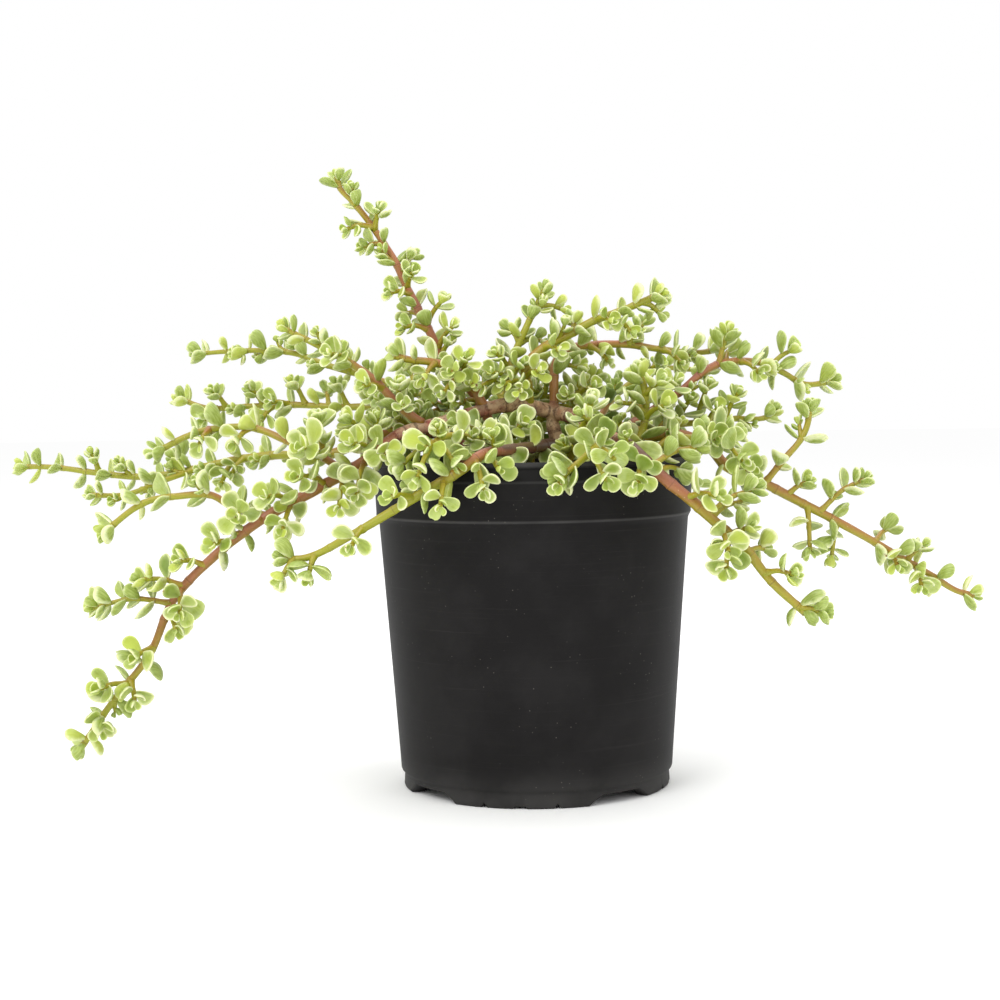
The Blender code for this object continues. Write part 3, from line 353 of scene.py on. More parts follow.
def inner_wall():
    """The pot's inside from the floor to the ridge, as radius and height."""
    low = FLOOR_TOP + FLOOR_ROUND
    return [
        (wall_radius(low) - FLOOR_SETBACK * WALL, FLOOR_TOP),
        (wall_radius(low) - WALL, low),
        (BODY_TOP[0] - WALL, BODY_TOP[1]),
        (BAND_RADIUS - WALL, RIM_HEIGHT),
    ]


def soil_height(radius):
    """The height of the soil's gently domed top."""
    return SOIL_TOP - SOIL_DOME * (radius / RIM_RADIUS) ** 2


class Route:
    """A smooth curve through a few points, read by the distance along it."""

    def __init__(self, points, straight_first=False):
        self.points = [points[0]]
        headings = self.headings(points, straight_first)
        for here, there, out, into in zip(points, points[1:], headings, headings[1:]):
            chord = (there - here).length
            count = max(1, math.ceil(chord / ROUTE_STEP))
            for step in range(1, count + 1):
                self.points.append(self.between(here, there, out * chord, into * chord, step / count))
        self.marks = [0.0]
        for here, there in zip(self.points, self.points[1:]):
            self.marks.append(self.marks[-1] + (there - here).length)
        self.length = self.marks[-1]

    @staticmethod
    def headings(points, straight_first):
        """The heading at each point: midway between the chords on both sides of it."""
        chords = [(there - here).normalized() for here, there in zip(points, points[1:])]
        inner = [(before + after).normalized() for before, after in zip(chords, chords[1:])]
        if straight_first:
            inner[0] = chords[0]
        return [chords[0]] + inner + [chords[-1]]

    @staticmethod
    def between(here, there, out, into, share):
        """A point of the curve from one point to the next, with the headings out and in."""
        square = share * share
        cube = square * share
        return (here * (2 * cube - 3 * square + 1) + out * (cube - 2 * square + share)
                + there * (3 * square - 2 * cube) + into * (cube - square))

    def at(self, distance):
        """The point and the heading at a distance along the curve."""
        distance = min(max(distance, 0.0), self.length)
        low, high = 0, len(self.marks) - 1
        while high - low > 1:
            middle = (low + high) // 2
            if self.marks[middle] <= distance:
                low = middle
            else:
                high = middle
        here, there = self.points[low], self.points[high]
        span = max(self.marks[high] - self.marks[low], 1e-9)
        return here.lerp(there, (distance - self.marks[low]) / span), (there - here).normalized()

    def nearest(self, point):
        """How far along the curve it comes closest to a point."""
        index = min(range(len(self.points)), key=lambda i: (self.points[i] - point).length_squared)
        return self.marks[index]


def stem_route(points):
    """A stem's route in metres; one that stands in the soil gets its straight foot first."""
    if len(points[0]) == 3:
        return Route([metres(point) for point in points])
    x, y = points[0][0] * MM, points[0][1] * MM
    foot = [Vector((x, y, SOIL_TOP - HOLE_DEPTH)), Vector((x, y, NECK_TOP))]
    return Route(foot + [metres(point) for point in points[1:]], straight_first=True)


def axis_radius(axis, distance):
    """The stalk's radius at a distance along its route."""
    share = (distance - axis.start) / max(axis.route.length - axis.start, 1e-6)
    return axis.girth[0] + (axis.girth[1] - axis.girth[0]) * min(max(share, 0.0), 1.0)


def trunk_axes():
    """The trunk and its two limbs, each as an axis that ends where its leafy stem begins."""
    axes = []
    for points, stem, girth in ((TRUNK_ROUTE_MM, "stem_right_high", TRUNK_GIRTH_MM),
                                (LEFT_LIMB_MM, "stem_long_left", LIMB_GIRTH_MM),
                                (RIGHT_LIMB_MM, "stem_front_right", LIMB_GIRTH_MM)):
        whole = stem_route(points)
        length = STEMS[stem].wood * MM
        count = max(2, round(length / WOOD_STEP))
        wood = Route([whole.at(length * step / count)[0] for step in range(count + 1)])
        axes.append(Axis("trunk", "wood", wood, 0.0, in_metres(girth), None, None, 0))
    return axes


def side_start(route, radius, bark):
    """Where a stem that sprouts from the side of the wood is first clear of its bark, by the gap."""
    distance = 0.0
    while min(clearance(bark, point) for point in ring(route, distance, radius)) < GAP:
        distance += SEAT_STEP
    return distance


def ring(route, distance, radius):
    """Points round a route at a distance along it, and its middle."""
    centre, heading = route.at(distance)
    cross = cross_axes(heading)
    turns = (step * math.tau / RING_SIDES for step in range(RING_SIDES))
    return [centre] + [centre + spoke(cross, turn) * radius for turn in turns]


def clearance(bark, point):
    """How far a point is outside a closed surface, or less than nothing inside it."""
    nearest, normal, face, distance = bark.find_nearest(point)
    return math.copysign(distance, (point - nearest).dot(normal))


def cross_axes(heading):
    """Two directions square to a heading: a level one, and one as upright as it can be."""
    level = heading.cross(Vector((0, 0, 1)))
    if level.length < LEAST_LEVEL:
        level = Vector((1, 0, 0)) - heading * heading.x
    level.normalize()
    return level, level.cross(heading).normalized()


def spoke(cross, turn):
    """The direction at a turn round a heading, from the heading's two cross axes."""
    return cross[0] * math.cos(turn) + cross[1] * math.sin(turn)


def grow_axes(name, stem, bark):
    """The axes of one leafy stem: its stalk, then its branches, then its side shoots."""
    route = stem_route(stem.route)
    girth, leaf, pitch = (in_metres(pair) for pair in (stem.girth, stem.leaf, stem.pitch))
    start = 0.0
    if stem.seat == "limb":
        start = stem.wood * MM + GAP
    elif stem.seat == "side":
        start = side_start(route, girth[0], bark)
    axes = [Axis(name, "stalk", route, start, girth, leaf, pitch, start + stem.bare * MM)]
    for points in stem.branches:
        branch = Route([metres(point) for point in points])
        root = axis_radius(axes[0], axes[0].route.nearest(branch.points[0]))
        sizes = tuple(length * BRANCH_LEAF for length in leaf)
        axes.append(Axis(name, "branch", branch, 0.0, (BRANCH_GIRTH * root, girth[1]), sizes, pitch,
                         root + BRANCH_BARE_MM * MM))
    for end in stem.shoots:
        axes.append(grow_shoot(name, axes[:1 + len(stem.branches)], metres(end), leaf))
    return axes


def grow_shoot(name, parents, end, leaf):
    """A side shoot from the nearest stalk to the point given, a little forward along the stalk."""
    parent = min(parents, key=lambda axis: (axis.route.at(axis.route.nearest(end))[0] - end).length)
    near = parent.route.nearest(end)
    away = (parent.route.at(near)[0] - end).length
    root = parent.route.at(max(near - SHOOT_SETBACK * away, parent.bare))[0]
    middle = root.lerp(end, 0.5) + Vector((0, 0, SHOOT_BULGE * away))
    sizes = tuple(length * SHOOT_LEAF for length in leaf)
    return Axis(name, "shoot", Route([root, middle, end]), 0.0, in_metres(SHOOT_GIRTH_MM), sizes,
                in_metres(SHOOT_PITCH_MM), parent.girth[0] + SHOOT_BARE_MM * MM)


def is_bare(axis, distance):
    """Whether a place on a main stalk lies in one of its stretches without leaves."""
    across = axis.route.at(distance)[0].x / MM
    return axis.kind == "stalk" and any(low < across < high for low, high in STEMS[axis.stem].clear)


def leaf_sites(axis, number):
    """The places for an axis's leaves: opposite pairs, each turned a quarter from the last."""
    draw = random.Random(f"{axis.stem} {number}")
    sites = []
    turn = draw.uniform(*FIRST_TURN)
    distance = axis.bare
    last = axis.route.length - TIP_PAIRS[0][0]
    pair = 0
    while distance < last - 0.5 * axis.pitch[1]:
        share = distance / axis.route.length
        length = (axis.leaf[0] + (axis.leaf[1] - axis.leaf[0]) * share) * draw.uniform(*PAIR_SIZES)
        spread = draw.uniform(*PAIR_SPREAD)
        for side in () if is_bare(axis, distance) else (0, 1):
            rank = 0 if axis.kind != "shoot" and side == (pair // 2) % 2 else 1
            sites.append(Site(axis, distance, turn + 180 * side + draw.uniform(-LEAF_TURN, LEAF_TURN),
                              spread + draw.uniform(-SMALL_TURN, SMALL_TURN),
                              length * draw.uniform(*OWN_SIZES), rank))
        distance += (axis.pitch[0] + (axis.pitch[1] - axis.pitch[0]) * share) * draw.uniform(*PAIR_SPACES)
        turn += 90 + draw.uniform(-PAIR_TURN, PAIR_TURN)
        pair += 1
    for order, (back, size, spread) in enumerate(TIP_PAIRS):
        for side in (0, 1):
            rank = 0 if order < (1 if axis.kind == "shoot" else 2) else 1
            sites.append(Site(axis, axis.route.length - back,
                              turn + 180 * side + draw.uniform(-SMALL_TURN, SMALL_TURN),
                              spread + draw.uniform(-SMALL_TURN, SMALL_TURN),
                              axis.leaf[1] * size * draw.uniform(*TIP_SIZES), rank))
        turn += 90
    return sites


def leaf_matrix(site, turn, spread, size):
    """The place of a unit leaf: its length along X from the stalk's middle, its upper face to Z."""
    point, heading = site.axis.route.at(site.place)
    opening = math.radians(site.spread + spread)
    outward = spoke(cross_axes(heading), math.radians(site.turn + turn))
    along = heading * math.cos(opening) + outward * math.sin(opening)
    along = (along + Vector((0, 0, UP_LEAN))).normalized()
    face = heading + Vector((0, 0, FACE_UP))
    face = (face - along * along.dot(face)).normalized()
    across = face.cross(along)
    radius = axis_radius(site.axis, site.place)
    length = site.length * size
    scale = Matrix.Diagonal((length + (1 - LEAF_SEAT) * radius, length * LEAF_WIDTH, LEAF_THICKNESS, 1.0))
    frame = Matrix((along, across, face)).transposed().to_4x4()
    return Matrix.Translation(point + along * LEAF_SEAT * radius) @ frame @ scale


def unit_leaf(sides, root, swell):
    """Points and faces of a leaf one unit long, wide and thick: flat above, with a full belly."""
    shape = bmesh.new()
    bmesh.ops.create_cone(shape, cap_ends=True, cap_tris=False, segments=sides, radius1=1.0, radius2=0.0,
                          depth=1.0)
    for vertex in shape.verts:
        x, y, z = vertex.co
        if z > 0:
            vertex.co = Vector((LEAF_BODY, 0.0, -swell))
            continue
        share = max(0.0, 0.5 - 0.5 * y) ** LEAF_OUTLINE[2]
        width = x * (LEAF_OUTLINE[0] + LEAF_OUTLINE[1] * share)
        vertex.co = Vector((root + (1.0 - root) * share, 0.5 * width * swell, swell - 1.0))
    bmesh.ops.recalc_face_normals(shape, faces=shape.faces[:])
    shape.verts.ensure_lookup_table()
    points = [vertex.co.copy() for vertex in shape.verts]
    faces = [[vertex.index for vertex in face.verts] for face in shape.faces]
    shape.free()
    return points, faces


def grid_faces(rows, columns, first=0):
    """Faces between closed rings of points that turn left, each ring after the last."""
    faces = []
    for row in range(rows - 1):
        low = first + row * columns
        for side in range(columns):
            other = (side + 1) % columns
            faces.append((low + columns + side, low + columns + other, low + other, low + side))
    return faces


def tube_shell(axis, room):
    """Points and faces of a plain tube a little fatter than an axis, for tests of what is clear of it."""
    count = max(2, math.ceil((axis.route.length - axis.start) / SHELL_STEP))
    points = []
    for step in range(count + 1):
        distance = axis.start + (axis.route.length - axis.start) * step / count
        centre, heading = axis.route.at(distance)
        cross = cross_axes(heading)
        radius = axis_radius(axis, distance) + room
        points.extend(centre + spoke(cross, side * math.tau / SHELL_SIDES) * radius
                      for side in range(SHELL_SIDES))
    return points, [face[::-1] for face in grid_faces(count + 1, SHELL_SIDES)]


class Crowd:
    """Shapes already placed, kept by coarse cells so that a new one is tested against near ones."""

    CELL = 25 * MM

    def __init__(self):
        self.cells = {}
        self.shapes = []

    def keys(self, points):
        """The cells that the box round some points reaches into."""
        low = [math.floor(min(point[i] for point in points) / self.CELL) for i in range(3)]
        high = [math.floor(max(point[i] for point in points) / self.CELL) for i in range(3)]
        return [(x, y, z) for x in range(low[0], high[0] + 1) for y in range(low[1], high[1] + 1)
                for z in range(low[2], high[2] + 1)]

    def add(self, points, faces, owner=None):
        """Keep a shape, under every cell that one of its faces comes near."""
        number = len(self.shapes)
        self.shapes.append((BVHTree.FromPolygons(points, faces), owner))
        for face in faces:
            for key in self.keys([points[index] for index in face]):
                self.cells.setdefault(key, set()).add(number)

    def is_clear(self, points, faces, owner):
        """Whether a shape crosses none of those kept, apart from its own stalk."""
        near = set()
        for key in self.keys(points):
            near |= self.cells.get(key, set())
        tree = BVHTree.FromPolygons(points, faces)
        return not any(self.shapes[n][0].overlap(tree) for n in near if self.shapes[n][1] is not owner)


def turned_shell(profile):
    """Points and faces of a turned surface, for tests against the pot and the soil."""
    turns = [side * math.tau / TURNED_SIDES for side in range(TURNED_SIDES)]
    points = [Vector((radius * math.cos(turn), radius * math.sin(turn), height))
              for radius, height in profile for turn in turns]
    return points, [face[::-1] for face in grid_faces(len(profile), TURNED_SIDES)]


def start_crowd(axes):
    """A crowd that holds the pot's walls, the soil's top and every stalk."""
    crowd = Crowd()
    inner = BAND_RADIUS - WALL - WALL_ROOM
    outer = RIM_RADIUS + WALL_ROOM
    top = RIM_HEIGHT + WALL_ROOM
    pot = [(inner, SOIL_TOP), (inner, top), (outer, top), (outer, RIDGE_HEIGHT),
           (BODY_FOOT[0] + WALL_ROOM, BODY_FOOT[1])]
    crowd.add(*turned_shell(pot))
    crowd.add(*turned_shell([(MM, SOIL_TOP + WALL_ROOM), (outer, SOIL_TOP + WALL_ROOM)]))
    for axis in axes:
        crowd.add(*tube_shell(axis, STALK_ROOM), owner=axis)
    return crowd


def grow_leaves(axes, crowd, rank, first=0):
    """Place one rank of leaves, from one axis on, where they touch no leaf, stalk or wall."""
    proxy, faces = unit_leaf(PROXY_SIDES, PROXY_ROOT, PROXY_SWELL)
    leaves = []
    for number, axis in enumerate(axes[first:], first):
        for site in leaf_sites(axis, number):
            if site.rank != rank:
                continue
            for turn, spread, size in TRIES:
                matrix = leaf_matrix(site, turn, spread, size)
                points = [matrix @ point for point in proxy]
                if crowd.is_clear(points, faces, axis):
                    crowd.add(points, faces)
                    leaves.append(Leaf(site, matrix))
                    break
    return leaves


# The finer surfaces: how many points go round a part, how close together its rows and nodes lie, and
# how rough and how smoothed the bark's skin is.
POT_COLUMNS = 160
DRAIN_COLUMNS = 24
SOIL_COLUMNS = 120
SOIL_RINGS = 44
STALK_SIDES = 12
SHOOT_SIDES = 10
ROW_STEP = 2.2 * MM
NODE_ROWS_MM = (-1.6, -0.8, -0.35, 0.0, 0.35, 0.8, 1.6)
WOOD_SIDES = 20
WOOD_ROW = 0.9 * MM
FIRST_NODE_MM = (3, 6)
WOOD_NODE = 9.0 * MM
WOOD_SPACES = (0.6, 1.3)
WOOD_EASE = 14.0 * MM
WOOD_STEMS = ("stem_right_high", "stem_long_left", "stem_front_right")
BARK_VOXEL = 0.6 * MM
BARK_ROUGH = (0.07, 320)
BARK_SMOOTH = (0.5, 2)
LEAST_ROW = 0.2 * MM
# How far a stalk that stands in the soil starts along its route, and how far others start inside.
STALK_FOOT = 8 * MM
STALK_SUNK = 4 * MM
# How a stalk or the wood swells round its nodes and dips at them, as a share of its radius and a
# reach in millimetres. A node is read up to a distance from it, in millimetres too.
NODE_SWELL = (0.13, 1.0)
NODE_DIP = (0.07, 0.28)
WOOD_PLAIN = 0.94
WOOD_SWELL = (0.10, 1.9)
WOOD_DIP = (0.12, 0.5)
WOOD_END = 0.98
NODE_REACH = 3.0
NODE_FAR = 9 * MM
# How a stalk waves along its length, and how a branch or a shoot widens at its foot.
STALK_WAVE = (0.025, 3.1 * MM)
FOOT_SWELL = (0.45, 2.5 * MM)

# The pot's fine edges: the lip's rounding, how far under the rim the band's moulding line lies, how
# much lower than in the solids the step above the feet is, how far below it the feet's edge stays, and
# the roundings of the feet. More columns stand at the feet's notches, flats and ends: how far they
# reach, in radians, and how many they are.
BODY_ROWS_MM = (118, 90, 60, 30, 14)
LIP_ROUND = 0.8 * MM
MOULD_LINE = 9.5 * MM
STEP_DROP = 1.8 * MM
STEP_ROOM = 3.2 * MM
FOOT_EASE = 0.03
NOTCH_EASE = 0.62
FLAT_EASE = 0.6 * MM
NOTCH_COLUMNS = (0.030, 9)
FLAT_COLUMNS = (0.012, 5)
END_COLUMNS = (0.07, 12)
LEAST_TURN = 0.002
POT_SHARP = math.radians(40)

# The soil: how high its clumps stand, how far it sinks at the wall, and the bark chips and grains on
# it: how many, their sizes, how close to the wall they lie, and the tone over which a bit is a grain.
CLUMP_HEIGHT = 1.5 * MM
CLUMP_SCALES = (120, 330)
SMALL_CLUMPS = 0.6
WALL_SINK = 1.0 * MM
SINK_POWER = 8
BIT_COUNT = 420
BIT_SIZES_MM = (0.8, 2.9)
SMALL_BITS = (0.5, 0.8)
BIT_MARGIN = 4 * MM
BIT_STRETCH = ((0.8, 2.0), (0.6, 1.0), (0.3, 0.7))
BIT_TILTS = (0.5, 0.4)
BIT_ROUGH = (0.72, 1.1)
GRAIN_TONE = 0.955
GRAIN_SHAPE = (1.0, 0.9, 0.85)

# A leaf: points round it, then its rings above and below from the middle to the edge. Small ones have
# fewer points.
LARGE_LEAF = (22, (0.25, 0.52, 0.76, 0.90, 0.97), (0.94, 0.72, 0.38))
SMALL_LEAF = (16, (0.34, 0.70, 0.90, 0.97), (0.92, 0.55))
SMALL_LENGTH = 10.4 * MM
LEAF_MIDDLE = 0.56
# How much one leaf differs from another: its size, width, thickness, hollow, curl, fold, twist and
# the wave of its edge. A deep fold is rarer than a plain one, and so is a wide pale margin.
LEAF_SIZES = (0.79, 1.04)
LEAF_WIDTHS = (0.86, 1.18)
LEAF_THICKNESSES = (0.9, 1.1)
THICKNESS_SHARES = (0.55, 0.35)
USUAL_LENGTH = 13 * MM
LEAF_CUPS = (0.06, 0.34)
LEAF_CURLS = (-0.10, 0.22)
LEAF_FOLDS = (0.0, 0.16)
DEEP_FOLDS = (0.2, 0.42)
PLAIN_FOLD_SHARE = 0.75
LEAF_TWISTS = (-0.22, 0.22)
LEAF_NOTCHES = (0.0, 0.0, 0.0, 0.05)
LEAF_WAVES = (0.0, 0.035)
MARGIN_DRIFT = (-0.12, 0.12)
WIDE_MARGIN = (0.05, 0.20)
WIDE_MARGIN_SHARE = 0.32
YOUNG_REACH = 14 * MM
# How far apart, at most, two leaves read the same pattern, in millimetres.
PATTERN_SHIFT = 400.0
# The curves of every leaf: how sharp its tip notch is, how its hollow rises, the lip's height, place
# and reach, the round of its edge, the belly's two powers, and where its curl and its fold begin.
TIP_REACH = 0.02
CUP_POWER = 2.2
LIP = (0.10, 0.92, 0.05)
EDGE_ROUND = (0.26, 30)
BELLY_POWERS = (3.2, 0.55)
CURL_START = 0.2
FOLD_WIDTH = 0.16
FOLD_EASE = 3
# What is tried where a leaf would pass the CAD model's box: smaller and smaller sizes.
LEAF_SHRINKS = np.arange(1.0, 0.2, -0.04)

# Parts of the plant whose leaves are paler or darker than the rest: a place and a reach in
# millimetres, and how far their tone moves there. The pale margin moves by a share of that.
TONE_DRIFTS = (
    ((-92, -45, 172), 42, 0.34),
    ((-40, -10, 208), 48, 0.20),
    ((38, -12, 200), 42, 0.34),
    ((32, -88, 158), 38, -0.22),
    ((92, -40, 168), 38, -0.16),
    # These three, deep in the plant behind the trunk, darken their leaves as painted shade.
    ((8, 42, 188), 36, -0.85),
    ((-50, 30, 176), 30, -0.75),
    ((52, 40, 180), 30, -0.6),
)
MARGIN_SHARE = 0.20

# How old a stem's bark looks at its foot and at its tip, from 0 for a fresh olive stalk to 1 for wood,
# and how far along it the one gives way to the other.
STALK_AGES = {
    "stem_long_left": (0.58, 0.05, 0.76),
    "stem_front_left": (1.0, 0.0, 0.45),
    "stem_left_rise": (0.52, 0.05, 0.50),
    "stem_left_inner": (0.55, 0.25, 0.60),
    "stem_mid_rise": (0.18, 0.0, 0.40),
    "stem_mid_right": (0.22, 0.0, 0.50),
    "stem_front_short": (0.35, 0.05, 0.40),
    "stem_front_right": (0.84, 0.22, 0.40),
    "stem_right_high": (0.48, 0.15, 0.60),
    "stem_far_left": (0.72, 0.0, 0.34),
    "stem_left_middle": (0.66, 0.10, 0.36),
    "stem_left_high": (0.50, 0.0, 0.45),
    "stem_tall": (0.70, 0.25, 0.80),
    "stem_right_arch": (0.66, 0.10, 0.70),
    "stem_long_right": (0.42, 0.34, 0.50),
    "stem_right_inner": (0.20, 0.08, 0.50),
    "stem_right_low": (0.20, 0.05, 0.50),
    "stem_front_inner": (0.25, 0.05, 0.50),
    "stem_centre": (0.25, 0.05, 0.50),
    "stem_centre_right": (0.25, 0.05, 0.50),
}
USUAL_AGES = (0.60, 0.05, 0.50)
AGE_SPAN = 0.19
# How much younger than their stalk a branch, a shoot and their tips look, and where the age changes.
YOUNGER = {"branch": 0.8, "shoot": 0.55, "tip": 0.6, "change": 0.4}
# The same for the bark of the trunk, the left limb and the right limb.
WOOD_AGES = ((1.0, 0.50, 1.05), (1.0, 0.70, 0.36), (0.92, 0.72, 0.30))
# The heights between which the trunk's foot darkens, a painted shade under the leaves near the soil.
FOOT_SHADE_HEIGHTS = (177 * MM, 168 * MM)

# The small rosettes in the axils of leaves: how many leaves have one, and the sizes of its shoot.
BUD_SHARE = 0.38
BUD_LEAN = math.radians(40)
BUD_STEP = 1.2 * MM
BUD_REACH_MM = (6.4, 8.6)
BUD_LEAF_MM = (6.0, 9.0)
BUD_GIRTH_MM = (1.2, 0.8)
BUD_ROOM = 0.2 * MM
BUD_LAST = 15 * MM

# The photograph's frame in pixels, and the camera that fits it, in metres and radians.
PHOTO_PIXELS = 1000
FOCAL_PIXELS = 1881
HORIZON_ROW = 396.3
POT_COLUMN = 533.2
CAMERA_PLACE = (0.0, -0.970, 0.200)
CAMERA_ROLL = math.radians(-0.85)
SENSOR_WIDTH = 36.0

# The light: an even surround, and soft lights with their place, size and power. The floor lies a
# little under the pot.
WORLD_LIGHT = 1.0
SOFT_LIGHTS = (
    ("key", (-0.9, -1.3, 1.5), 1.1, 16.0),
    ("fill", (1.3, -1.0, 0.9), 1.2, 4.0),
    ("top", (0.1, 0.6, 1.9), 1.4, 12.0),
)
LIGHT_AIM = (0.0, 0.0, 0.18)
FLOOR_RADIUS = 9.0
FLOOR_DROP = 0.0001

# The end points of the side shoots that only the fine plant has, in millimetres.
MORE_SHOOTS = {
    "stem_long_left": ((-156, -60, 130), (-173, -58, 122), (-175, -60, 88), (-215, -52, 38), (-85, -68, 153),
                       (-106, -44, 190), (-77, -38, 190), (-166, -36, 178)),
    "stem_front_left": ((-16, -92, 166), (-107, -84, 116)),
    "stem_left_rise": ((-64, -36, 196), (-66, -34, 207)),
    "stem_left_inner": ((-32, -30, 219), (-54, -32, 208), (-30, -28, 206), (-44, -34, 202)),
    "stem_mid_rise": ((-12, 2, 235), (6, 6, 228), (-20, -22, 212), (-4, -20, 216), (-26, -24, 205)),
    "stem_mid_right": ((50, -24, 231), (22, -8, 240), (-14, -26, 206), (4, -26, 212), (-6, -28, 202)),
    "stem_front_short": ((12, -97, 158),),
    "stem_front_right": ((100, -68, 148), (72, -60, 163), (103, -78, 136), (138, -74, 94)),
    "stem_right_high": ((78, 16, 216), (40, 6, 217)),
    "stem_far_left": ((-146, 28, 168), (-156, 2, 162), (-60, -4, 193), (-82, -6, 190), (-78, -2, 199),
                      (-66, -6, 178), (-69, -4, 190), (-54, -6, 184)),
    "stem_left_middle": ((-112, 56, 204), (-105, 38, 208), (-152, 46, 206), (-146, 42, 188), (-60, 24, 194),
                         (-70, 24, 205), (-67, 30, 172), (-66, 22, 180)),
    "stem_left_high": ((-44, 34, 206), (-54, 34, 196), (-74, 34, 196), (-64, 34, 184), (-63, 38, 201),
                       (-46, 38, 196)),
    "stem_tall": ((-66, 20, 244), (-66, 0, 236), (-34, 0, 207), (-44, -3, 216), (-38, 2, 196), (-77, 2, 297),
                  (-94, 2, 287), (-60, 14, 274), (-60, -2, 264), (-72, 0, 254), (-42, 2, 228)),
    "stem_right_arch": ((118, 8, 210), (58, 20, 198)),
    "stem_long_right": ((140, -8, 154), (186, -8, 110), (199, -4, 99)),
    "stem_right_inner": ((45, -28, 196),),
    "stem_right_middle": ((82, 4, 197), (107, 6, 200)),
    "stem_front_rosette": ((-36, -90, 168),),
    "stem_front_inner": ((-4, -36, 186), (-22, -44, 180), (-38, -34, 186)),
    "stem_centre": ((-4, 8, 190), (4, 12, 180), (14, 16, 200), (3, 24, 206), (8, 20, 188)),
    "stem_centre_right": ((18, -6, 200), (34, 14, 210), (14, 8, 195)),
    "stem_back_left": ((-60, 118, 174),),
    "stem_back_middle": ((10, 134, 168),),
    "stem_back_right": ((94, 100, 168),),
    "stem_back_rise": ((70, 58, 216),),
    "stem_back_inner": ((-10, 70, 206),),
}

# Screen colours by age, for a stalk in the light, for bark, and for the bits on the soil by their tone.
STALK_COLOURS = ((0.0, (154, 156, 34)), (0.25, (162, 146, 40)), (0.45, (156, 114, 44)),
                 (0.62, (170, 110, 70)), (0.8, (160, 98, 76)), (1.0, (100, 70, 54)))
BARK_COLOURS = ((0.40, (212, 148, 122)), (0.66, (182, 104, 90)), (0.84, (176, 124, 96)),
                (1.0, (212, 176, 134)))
BIT_COLOURS = ((0.0, (44, 34, 28)), (0.45, (82, 61, 44)), (0.8, (122, 93, 62)), (0.93, (146, 114, 80)),
               (0.96, (206, 200, 186)))


def paint(red, green, blue):
    """The linear colour of a screen colour from 0 to 255."""
    shares = (level / 255 for level in (red, green, blue))
    return (*(s / 12.92 if s <= 0.04045 else ((s + 0.055) / 1.055) ** 2.4 for s in shares), 1.0)


class Shade:
    """A material's nodes, added by short calls. Each call returns the socket to read on from."""

    def __init__(self, name, **values):
        self.material = bpy.data.materials.new(name)
        self.material.use_nodes = True
        self.tree = self.material.node_tree
        self.shader = self.tree.nodes["Principled BSDF"]
        for key, value in values.items():
            self.put(self.shader.inputs[key.replace("_", " ")], value)

    def put(self, socket, value):
        if isinstance(value, bpy.types.NodeSocket):
            self.tree.links.new(value, socket)
        else:
            socket.default_value = value

    def node(self, kind, inputs, output=0, **settings):
        made = self.tree.nodes.new("ShaderNode" + kind)
        for key, value in settings.items():
            setattr(made, key, value)
        for key, value in inputs.items():
            self.put(made.inputs[key], value)
        return made.outputs[output]

    def math(self, operation, *values):
        return self.node("Math", dict(enumerate(values)), operation=operation)

    def times(self, one, other):
        return self.math("MULTIPLY", one, other)

    def mix(self, share, low, high):
        """From one colour to another; each is a socket or a screen colour."""
        low, high = (paint(*item) if isinstance(item, tuple) else item for item in (low, high))
        return self.node("Mix", {0: share, 6: low, 7: high}, output=2, data_type="RGBA")

    def span(self, value, low, high, to_low=0.0, to_high=1.0):
        """A soft step of a value from one level to another."""
        return self.node("MapRange", {0: value, 1: low, 2: high, 3: to_low, 4: to_high},
                         interpolation_type="SMOOTHSTEP")

    def noise(self, vector, scale, detail=2.0, roughness=0.5):
        return self.node("TexNoise", {"Vector": vector, "Scale": scale, "Detail": detail,
                                      "Roughness": roughness})

    def stretched(self, vector, *scales):
        return self.node("VectorMath", {0: vector, 1: scales}, operation="MULTIPLY")

    def attribute(self, name):
        return self.node("Attribute", {}, output=1, attribute_name=name)

    def parts(self, vector):
        made = self.tree.nodes.new("ShaderNodeSeparateXYZ")
        self.put(made.inputs[0], vector)
        return made.outputs[0], made.outputs[1], made.outputs[2]

    def place(self):
        return self.node("TexCoord", {}, output=3)

    def normal(self):
        return self.node("NewGeometry", {}, output=1)

    def ramp(self, value, stops):
        made = self.tree.nodes.new("ShaderNodeValToRGB")
        self.put(made.inputs[0], value)
        points = made.color_ramp.elements
        while len(points) < len(stops):
            points.new(0.5)
        for point, (position, colour) in zip(points, stops):
            point.position = position
            point.color = paint(*colour)
        return made.outputs[0]

    def bump(self, height, strength, distance):
        relief = self.node("Bump", {"Height": height, "Strength": strength, "Distance": distance})
        self.put(self.shader.inputs["Normal"], relief)

    def colour(self, value):
        self.put(self.shader.inputs["Base Color"], value)

    def rough(self, value):
        self.put(self.shader.inputs["Roughness"], value)


